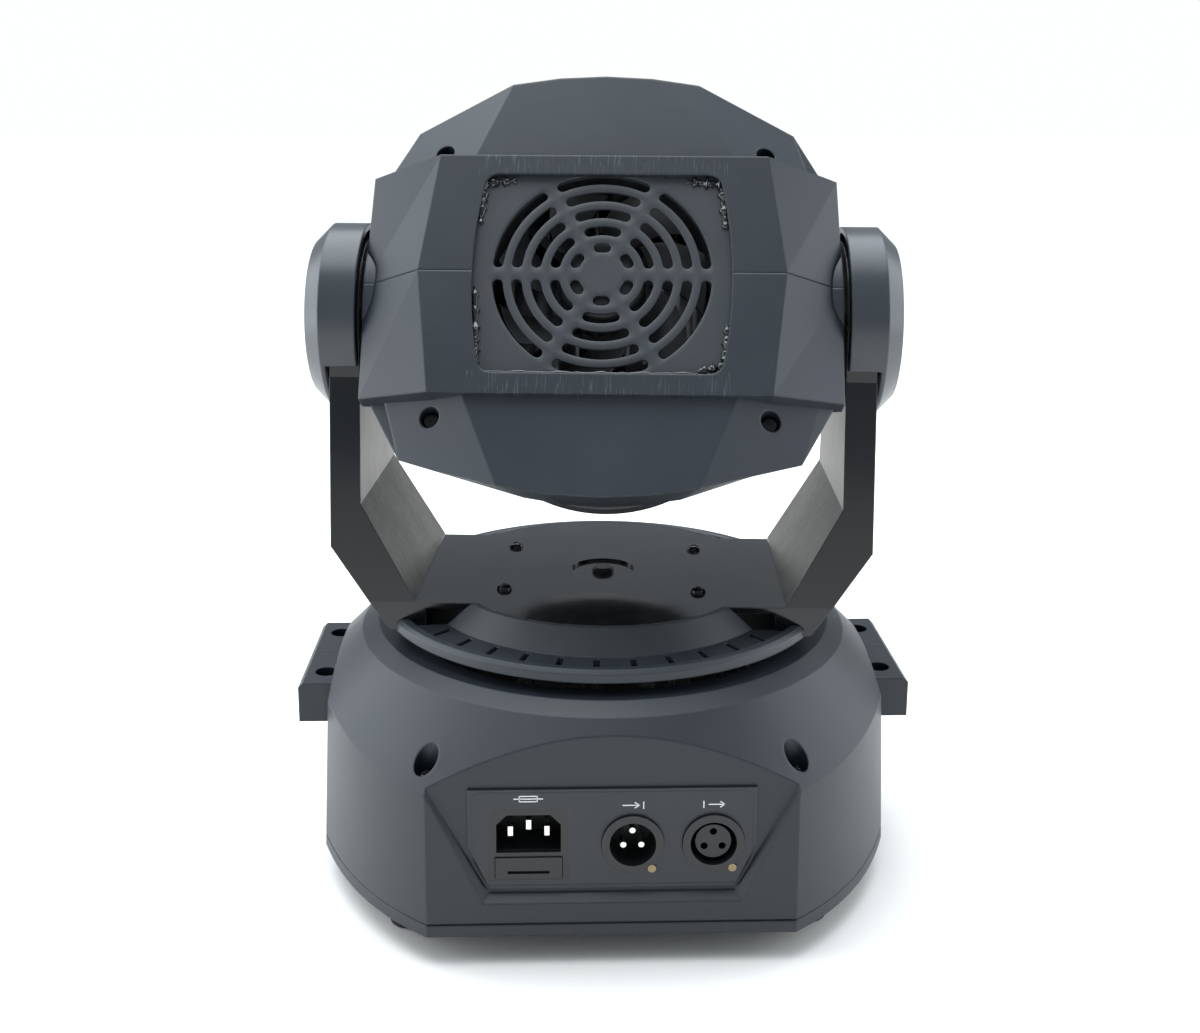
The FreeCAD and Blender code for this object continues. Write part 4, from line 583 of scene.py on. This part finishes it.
def screwHead(radius, high, recess, arm, depth, shank, length):
    # a low dome whose height drops inside a cross: dome(r) - depth where |x| or |y| is under the arm's width
    steps = np.concatenate([np.linspace(0.02, 0.9, 34), np.linspace(0.92, 1, 7)]) * radius
    angle = np.linspace(0, 2 * math.pi, screwSteps, endpoint=False)
    r, turn = np.meshgrid(steps, angle, indexing="ij")
    x, y = r * np.cos(turn), r * np.sin(turn)
    dome = high * (1 - (r / radius) ** 5) ** 0.5 * (0.86 + 0.14 * (1 - (r / radius) ** 2))
    inside = np.maximum(np.clip((arm - np.abs(x)) / 0.22, 0, 1) * np.clip((recess - np.abs(y)) / 0.4, 0, 1),
                        np.clip((arm - np.abs(y)) / 0.22, 0, 1) * np.clip((recess - np.abs(x)) / 0.4, 0, 1))
    crown = dome - depth * inside * (1 - 0.35 * r / recess).clip(0.3, 1)
    points = np.stack([x, y, crown], -1)
    side = turnedSheet([(radius, 0), (shank, 0), (shank, -length)], screwSteps)
    top = (points, gridFaces(len(steps), screwSteps, closeCols=True))
    return [top, capFan(points[0]), side, capFan(side[0][-1])]


plateScrew = {"radius": 3.3, "high": 2.3, "recess": 1.9, "arm": 0.42, "depth": 1.2, "shank": 2.0,
              "length": 9.0, "spots": ((-41.5, -28.5), (41.5, -28.5), (-41.5, 28.5), (41.5, 28.5)),
              "level": 119.0}


def spreadScrews(look, turns):
    sheets = []
    sizes = [look[key] for key in ("radius", "high", "recess", "arm", "depth", "shank", "length")]
    for (across, along), angle in zip(look["spots"], turns):
        for points, faces in screwHead(*sizes):
            turned = turnZ(points, math.radians(angle))
            sheets.append(moved((turned, faces), across, along, look["level"]))
    return sheets


def fourSpots(across, along):
    return tuple((x * across, y * along) for x in (-1, 1) for y in (-1, 1))


makePiece("plateScrews", spreadScrews(plateScrew, (10, 32, -18, 50)), yokePlace, screwSteel, "yoke",
          ("plate_screws",))
shellScrew = {"radius": 3.4, "high": 2.0, "recess": 1.9, "arm": 0.42, "depth": 1.1, "shank": 1.6,
              "length": 5.0, "spots": fourSpots(71, 103), "level": 71.5}
lugScrew = dict(shellScrew, spots=fourSpots(121, 22.5), level=72.6)
shellSheets = spreadScrews(shellScrew, (20, 5, -30, 40)) + spreadScrews(lugScrew, (12, 60, 75, -8))
makePiece("shellScrews", shellSheets, basePlace, screwSteel, "base", ("base_shell_screws",))
print("screws built")


# glue beads where the guard is stuck in its opening

bead = {"level": -47.9, "steps": 48, "round": 14,
        "runs": (((-49.8, 20), (-48.6, 39.6), (-34, 41.0), 2.6), ((49.8, 22), (48.8, 39.8), (36, 41.0), 2.5),
                 ((50.6, -6), (49.6, -26), (48.6, -39), 2.0),
                 ((-50.0, -22), (-48.8, -38.6), (-38, -41.2), 2.2),
                 ((-46, -42.0), (0, -42.3), (46, -42.0), 1.0))}


def glueRun(first, middle, last, thick, seed):
    # a round section carried along a bent path, its radius swollen and pinched by a few summed waves
    t = np.linspace(0, 1, bead["steps"])[:, None]
    first, middle, last = (np.array(point, float) for point in (first, middle, last))
    sharp = np.where(t < 0.5, first + (middle - first) * t * 2, middle + (last - middle) * (t * 2 - 1))
    tangent = np.gradient(sharp, axis=0)
    tangent /= np.linalg.norm(tangent, axis=1, keepdims=True)
    aside = np.stack([-tangent[:, 1], tangent[:, 0]], -1)
    wave = (0.72 + 0.24 * np.sin(t * 37 + seed * 2.1) + 0.2 * np.sin(t * 71 + seed)
            + 0.12 * np.sin(t * 131 + seed * 3))
    width = thick * wave * np.sqrt(np.clip(np.sin(math.pi * (0.02 + 0.96 * t)), 0.02, 1) ** 0.4)
    turn = np.linspace(0, 2 * math.pi, bead["round"], endpoint=False)
    flat = sharp[:, None, :] + aside[:, None, :] * (width * np.cos(turn))[..., None]
    rise = bead["level"] - (width * np.sin(turn) * 0.75)
    points = np.concatenate([flat, rise[..., None]], -1)
    skin = (points, gridFaces(bead["steps"], bead["round"], closeCols=True))
    return [skin, capFan(points[0]), capFan(points[-1])]


glueSheets = []
for number, (first, middle, last, thick) in enumerate(bead["runs"]):
    glueSheets += glueRun(first, middle, last, thick, number)
makePiece("glueBeads", glueSheets, headPlace, glueGloss, "head", (), 60)
print("glue beads built")


# rubber feet

feet = {"spots": ((-81, -86), (81, -86), (-81, 86), (81, 86)),
        "profile": [(0.01, 0.0), (5.4, 0.0), (6.6, 0.25), (7.3, 0.9), (7.6, 1.8), (8.0, 9.0), (8.0, 13.5),
                    (0.01, 13.5)], "ribs": 24, "ribDepth": 0.012, "ribLow": 1.5, "ribHigh": 12}


def footSheets():
    # a soft-edged plug turned about its own upright axis, with small ribs: radius = profile * (1 + small wave)
    sheets = []
    for across, along in feet["spots"]:
        points, faces = turnedSheet(feet["profile"], 96)
        angle = np.arctan2(points[..., 1], points[..., 0])
        ribbed = (points[..., 2] > feet["ribLow"]) * (points[..., 2] < feet["ribHigh"])
        inward = 1 - feet["ribDepth"] * (0.5 + 0.5 * np.cos(angle * feet["ribs"])) * ribbed
        points = points * np.stack([inward, inward, np.ones_like(inward)], -1)
        sheets += [moved((points, faces), across, along), moved(capFan(points[0]), across, along),
                   moved(capFan(points[-1]), across, along)]
    return sheets


makePiece("rubberFeet", footSheets(), basePlace, rubberBlack, "base", ("rubber_feet",))
print("feet built")


# fan rotor

rotor = {"back": -45.6, "hub": 18.0, "tip": 42.6, "blades": 7, "chord": 38.0, "low": 3.2, "high": 15.6,
         "sweep": 26.0, "thick": 1.2}


def bladeSheet(start):
    # radius one way and chord the other: the angle sweeps back with radius, the height climbs along the chord
    r = np.linspace(rotor["hub"] - 0.8, rotor["tip"], 16)[:, None]
    c = np.linspace(0, 1, 14)[None, :]
    out = (r - rotor["hub"]) / (rotor["tip"] - rotor["hub"])
    chord = rotor["chord"] * (1 - 0.18 * out)
    turn = np.radians(start + rotor["sweep"] * out ** 1.3 + chord * (c - 0.5))
    bowed = (c + 0.12 * np.sin(math.pi * c)) * (1 - 0.15 * out)
    level = rotor["back"] + rotor["low"] + (rotor["high"] - rotor["low"]) * bowed + rotor["thick"] / 2
    upper = np.stack([r * np.cos(turn), r * np.sin(turn), level], -1)
    lower = upper - np.array([0, 0, rotor["thick"]])
    ring = np.concatenate([upper, lower[:, ::-1]], 1)
    return [(ring, gridFaces(*ring.shape[:2], closeCols=True)), capFan(ring[0]), capFan(ring[-1])]


def rotorSheets():
    # a hollow cup with a rounded brim, turned about the axle, and its blades
    back, hub = rotor["back"], rotor["hub"]
    cup = [(0.01, back + 1.3), (hub - 2.6, back + 1.3), (hub - 1.2, back + 1.7), (hub - 0.3, back + 2.6),
           (hub, back + 4), (hub, back + 19), (hub - 2, back + 19), (hub - 2, back + 4), (0.01, back + 4)]
    shell = turnedSheet(cup, 120)
    sheets = [shell, capFan(shell[0][0]), capFan(shell[0][-1])]
    for index in range(rotor["blades"]):
        sheets += bladeSheet(index * 360 / rotor["blades"])
    return sheets


makePiece("fanBlades", rotorSheets(), headPlace, fanPlastic, "fan_rotor", ("fan_rotor",), 50)
print("fan rotor built")


# marks printed on the panels

marks = {"rear": -113.2, "button": 115.0, "row": 41.5, "thick": 0.05, "line": 0.42, "edgeLine": 0.4}


def stroke(start, end, width, face):
    # a thin flat bar from one spot of a panel to another, standing just proud of it
    start, end = np.array(start, float), np.array(end, float)
    onward = (end - start) / np.linalg.norm(end - start)
    aside = np.array([-onward[1], onward[0]]) * width / 2
    ring = np.stack([start + aside, end + aside, end - aside, start - aside])
    outward = math.copysign(1, face)
    near, far = face + outward * marks["thick"], face - outward * 0.1
    layers = np.stack([np.stack([ring[:, 0], np.full(4, level), ring[:, 1]], -1) for level in (near, far)])
    return [(layers, gridFaces(2, 4, closeCols=True)), (layers[0], np.array([[0, 1, 2, 3]])),
            (layers[1], np.array([[3, 2, 1, 0]]))]


def strokes(lines, across, up, width, face):
    sheets = []
    for (x0, z0), (x1, z1) in lines:
        sheets += stroke((across + x0, up + z0), (across + x1, up + z1), width, face)
    return sheets


def chain(spots):
    return list(zip(spots[:-1], spots[1:]))


fuseSign = [((-5.6, 0), (5.6, 0)), ((-3.4, 1.1), (3.4, 1.1)), ((-3.4, -1.1), (3.4, -1.1)),
            ((-3.4, -1.3), (-3.4, 1.3)), ((3.4, -1.3), (3.4, 1.3))]
inSign = [((-4, 0), (2.2, 0)), ((0.6, 1.2), (2.4, 0)), ((0.6, -1.2), (2.4, 0)), ((4, -1.5), (4, 1.5))]
outSign = [((-4, -1.5), (-4, 1.5)), ((-2.2, 0), (4, 0)), ((2.2, 1.2), (4, 0)), ((2.2, -1.2), (4, 0))]
line, rear = marks["line"], marks["rear"]
signSheets = (strokes(fuseSign, -32, 67.3, line, rear) + strokes(inSign, 7.7, 64.2, line, rear)
              + strokes(outSign, 38.6, 64.2, line, rear))
makePiece("plateMarks", signSheets, basePlace, markWhite, "base", (), 30)
labelEdge = chain([(-48.4, 31.3), (-53.2, 40.2), (-53.6, 42), (-53.6, 67), (-52.4, 69), (-50.4, 69.8),
                   (50.4, 69.8), (52.4, 69), (53.6, 67), (53.6, 42), (53.2, 40.2), (48.4, 31.3),
                   (-48.4, 31.3)])
makePiece("labelLine", strokes(labelEdge, 0, 0, marks["edgeLine"], rear), basePlace, socketNylon, "base",
          (), 30)
menuSign = [((-1.8, 1.1), (1.8, 1.1)), ((-1.8, 0), (1.8, 0)), ((-1.8, -1.1), (1.8, -1.1))]
upSign = [((-1.8, -0.8), (0, 1.2)), ((0, 1.2), (1.8, -0.8))]
downSign = [((-1.8, 0.8), (0, -1.2)), ((0, -1.2), (1.8, 0.8))]
enterSign = [((-1.9, -0.9), (1.8, -0.9)), ((1.8, -0.9), (1.8, 1.2)), ((-1.9, -0.9), (-0.7, 0.2)),
             ((-1.9, -0.9), (-0.7, -2.0))]
for button, sign, across in (("menu", menuSign, -21), ("up", upSign, -7), ("down", downSign, 7),
                             ("enter", enterSign, 21)):
    makePiece(button + "Mark", strokes(sign, across, marks["row"], line, marks["button"]), basePlace, markWhite,
              button + "_button", (), 30)
print("marks built")


# floor, lights and camera

def areaLight(name, place, size, power, colour, aim=(0, 0, 0.2)):
    lamp = bpy.data.lights.new(name, "AREA")
    lamp.shape, lamp.energy, lamp.color = "RECTANGLE", power, colour
    lamp.size, lamp.size_y = size
    thing = bpy.data.objects.new(name, lamp)
    bpy.context.scene.collection.objects.link(thing)
    way = np.array(aim, float) - np.array(place, float)
    flat = math.hypot(way[0], way[1])
    thing.location = place
    thing.rotation_euler = (math.atan2(flat, -way[2]), 0, math.atan2(-way[0], way[1]))


studio = {"floorHalf": 9.0, "seen": (0.99, 1.0, 1.0), "fill": (0.84, 0.93, 1.0), "fillStrength": 0.42,
          "cool": (0.90, 0.96, 1.0), "sun": 2.75, "sunSpread": 70}
half = studio["floorHalf"]
floorMesh = bpy.data.meshes.new("floor")
floorCorners = [(-half, -half, 0), (half, -half, 0), (half, half, 0), (-half, half, 0)]
floorMesh.from_pydata(floorCorners, [], [(0, 1, 2, 3)])
floor = bpy.data.objects.new("floor", floorMesh)
bpy.context.scene.collection.objects.link(floor)
floorPaint = bpy.data.materials.new("floorPaint")
floorPaint.use_nodes = True
floorShader = floorPaint.node_tree.nodes["Principled BSDF"]
floorShader.inputs["Base Color"].default_value = (0.98, 0.95, 0.92, 1)
floorShader.inputs["Roughness"].default_value = 0.6
floorMesh.materials.append(floorPaint)

world = bpy.data.worlds.new("studioAir")
bpy.context.scene.world = world
world.use_nodes = True
air = world.node_tree
fill = air.nodes["Background"]
fill.inputs[0].default_value = (*studio["fill"], 1)
fill.inputs[1].default_value = studio["fillStrength"]
backdrop = air.nodes.new("ShaderNodeBackground")
backdrop.inputs[0].default_value = (*studio["seen"], 1)
chooser, ray = air.nodes.new("ShaderNodeMixShader"), air.nodes.new("ShaderNodeLightPath")
wire(air, (ray.outputs["Is Camera Ray"], chooser.inputs[0]), (fill.outputs[0], chooser.inputs[1]),
     (backdrop.outputs[0], chooser.inputs[2]), (chooser.outputs[0], air.nodes["World Output"].inputs[0]))
sun = bpy.data.objects.new("softSun", bpy.data.lights.new("softSun", "SUN"))
sun.data.energy, sun.data.color = studio["sun"], studio["cool"]
sun.data.angle = math.radians(studio["sunSpread"])
sun.rotation_euler = (math.radians(-14), math.radians(-6), 0)
bpy.context.scene.collection.objects.link(sun)
areaLight("topBox", (-0.15, 0.25, 1.3), (1.4, 1.0), 8, studio["cool"])
areaLight("leftBox", (-1.25, 0.15, 0.55), (1.5, 1.1), 16, studio["cool"])
areaLight("rightBox", (1.3, 0.1, 0.6), (1.5, 1.1), 13, studio["cool"])
bpy.context.scene.view_settings.view_transform = "Standard"

shot = {"place": (-0.0229, -0.6029, 0.3305), "pitch": -12.39, "yaw": -1.95, "roll": -0.29, "lens": 42.44,
        "lift": -0.1}
camera = bpy.data.cameras.new("camera")
camera.sensor_width = 36
camera.lens = shot["lens"]
camera.shift_y = shot["lift"]
camera.clip_start = 0.01
eye = bpy.data.objects.new("camera", camera)
bpy.context.scene.collection.objects.link(eye)
eye.location = shot["place"]
eye.rotation_euler = (math.radians(90 + shot["pitch"]), math.radians(shot["roll"]), math.radians(shot["yaw"]))
bpy.context.scene.camera = eye
print("studio built")
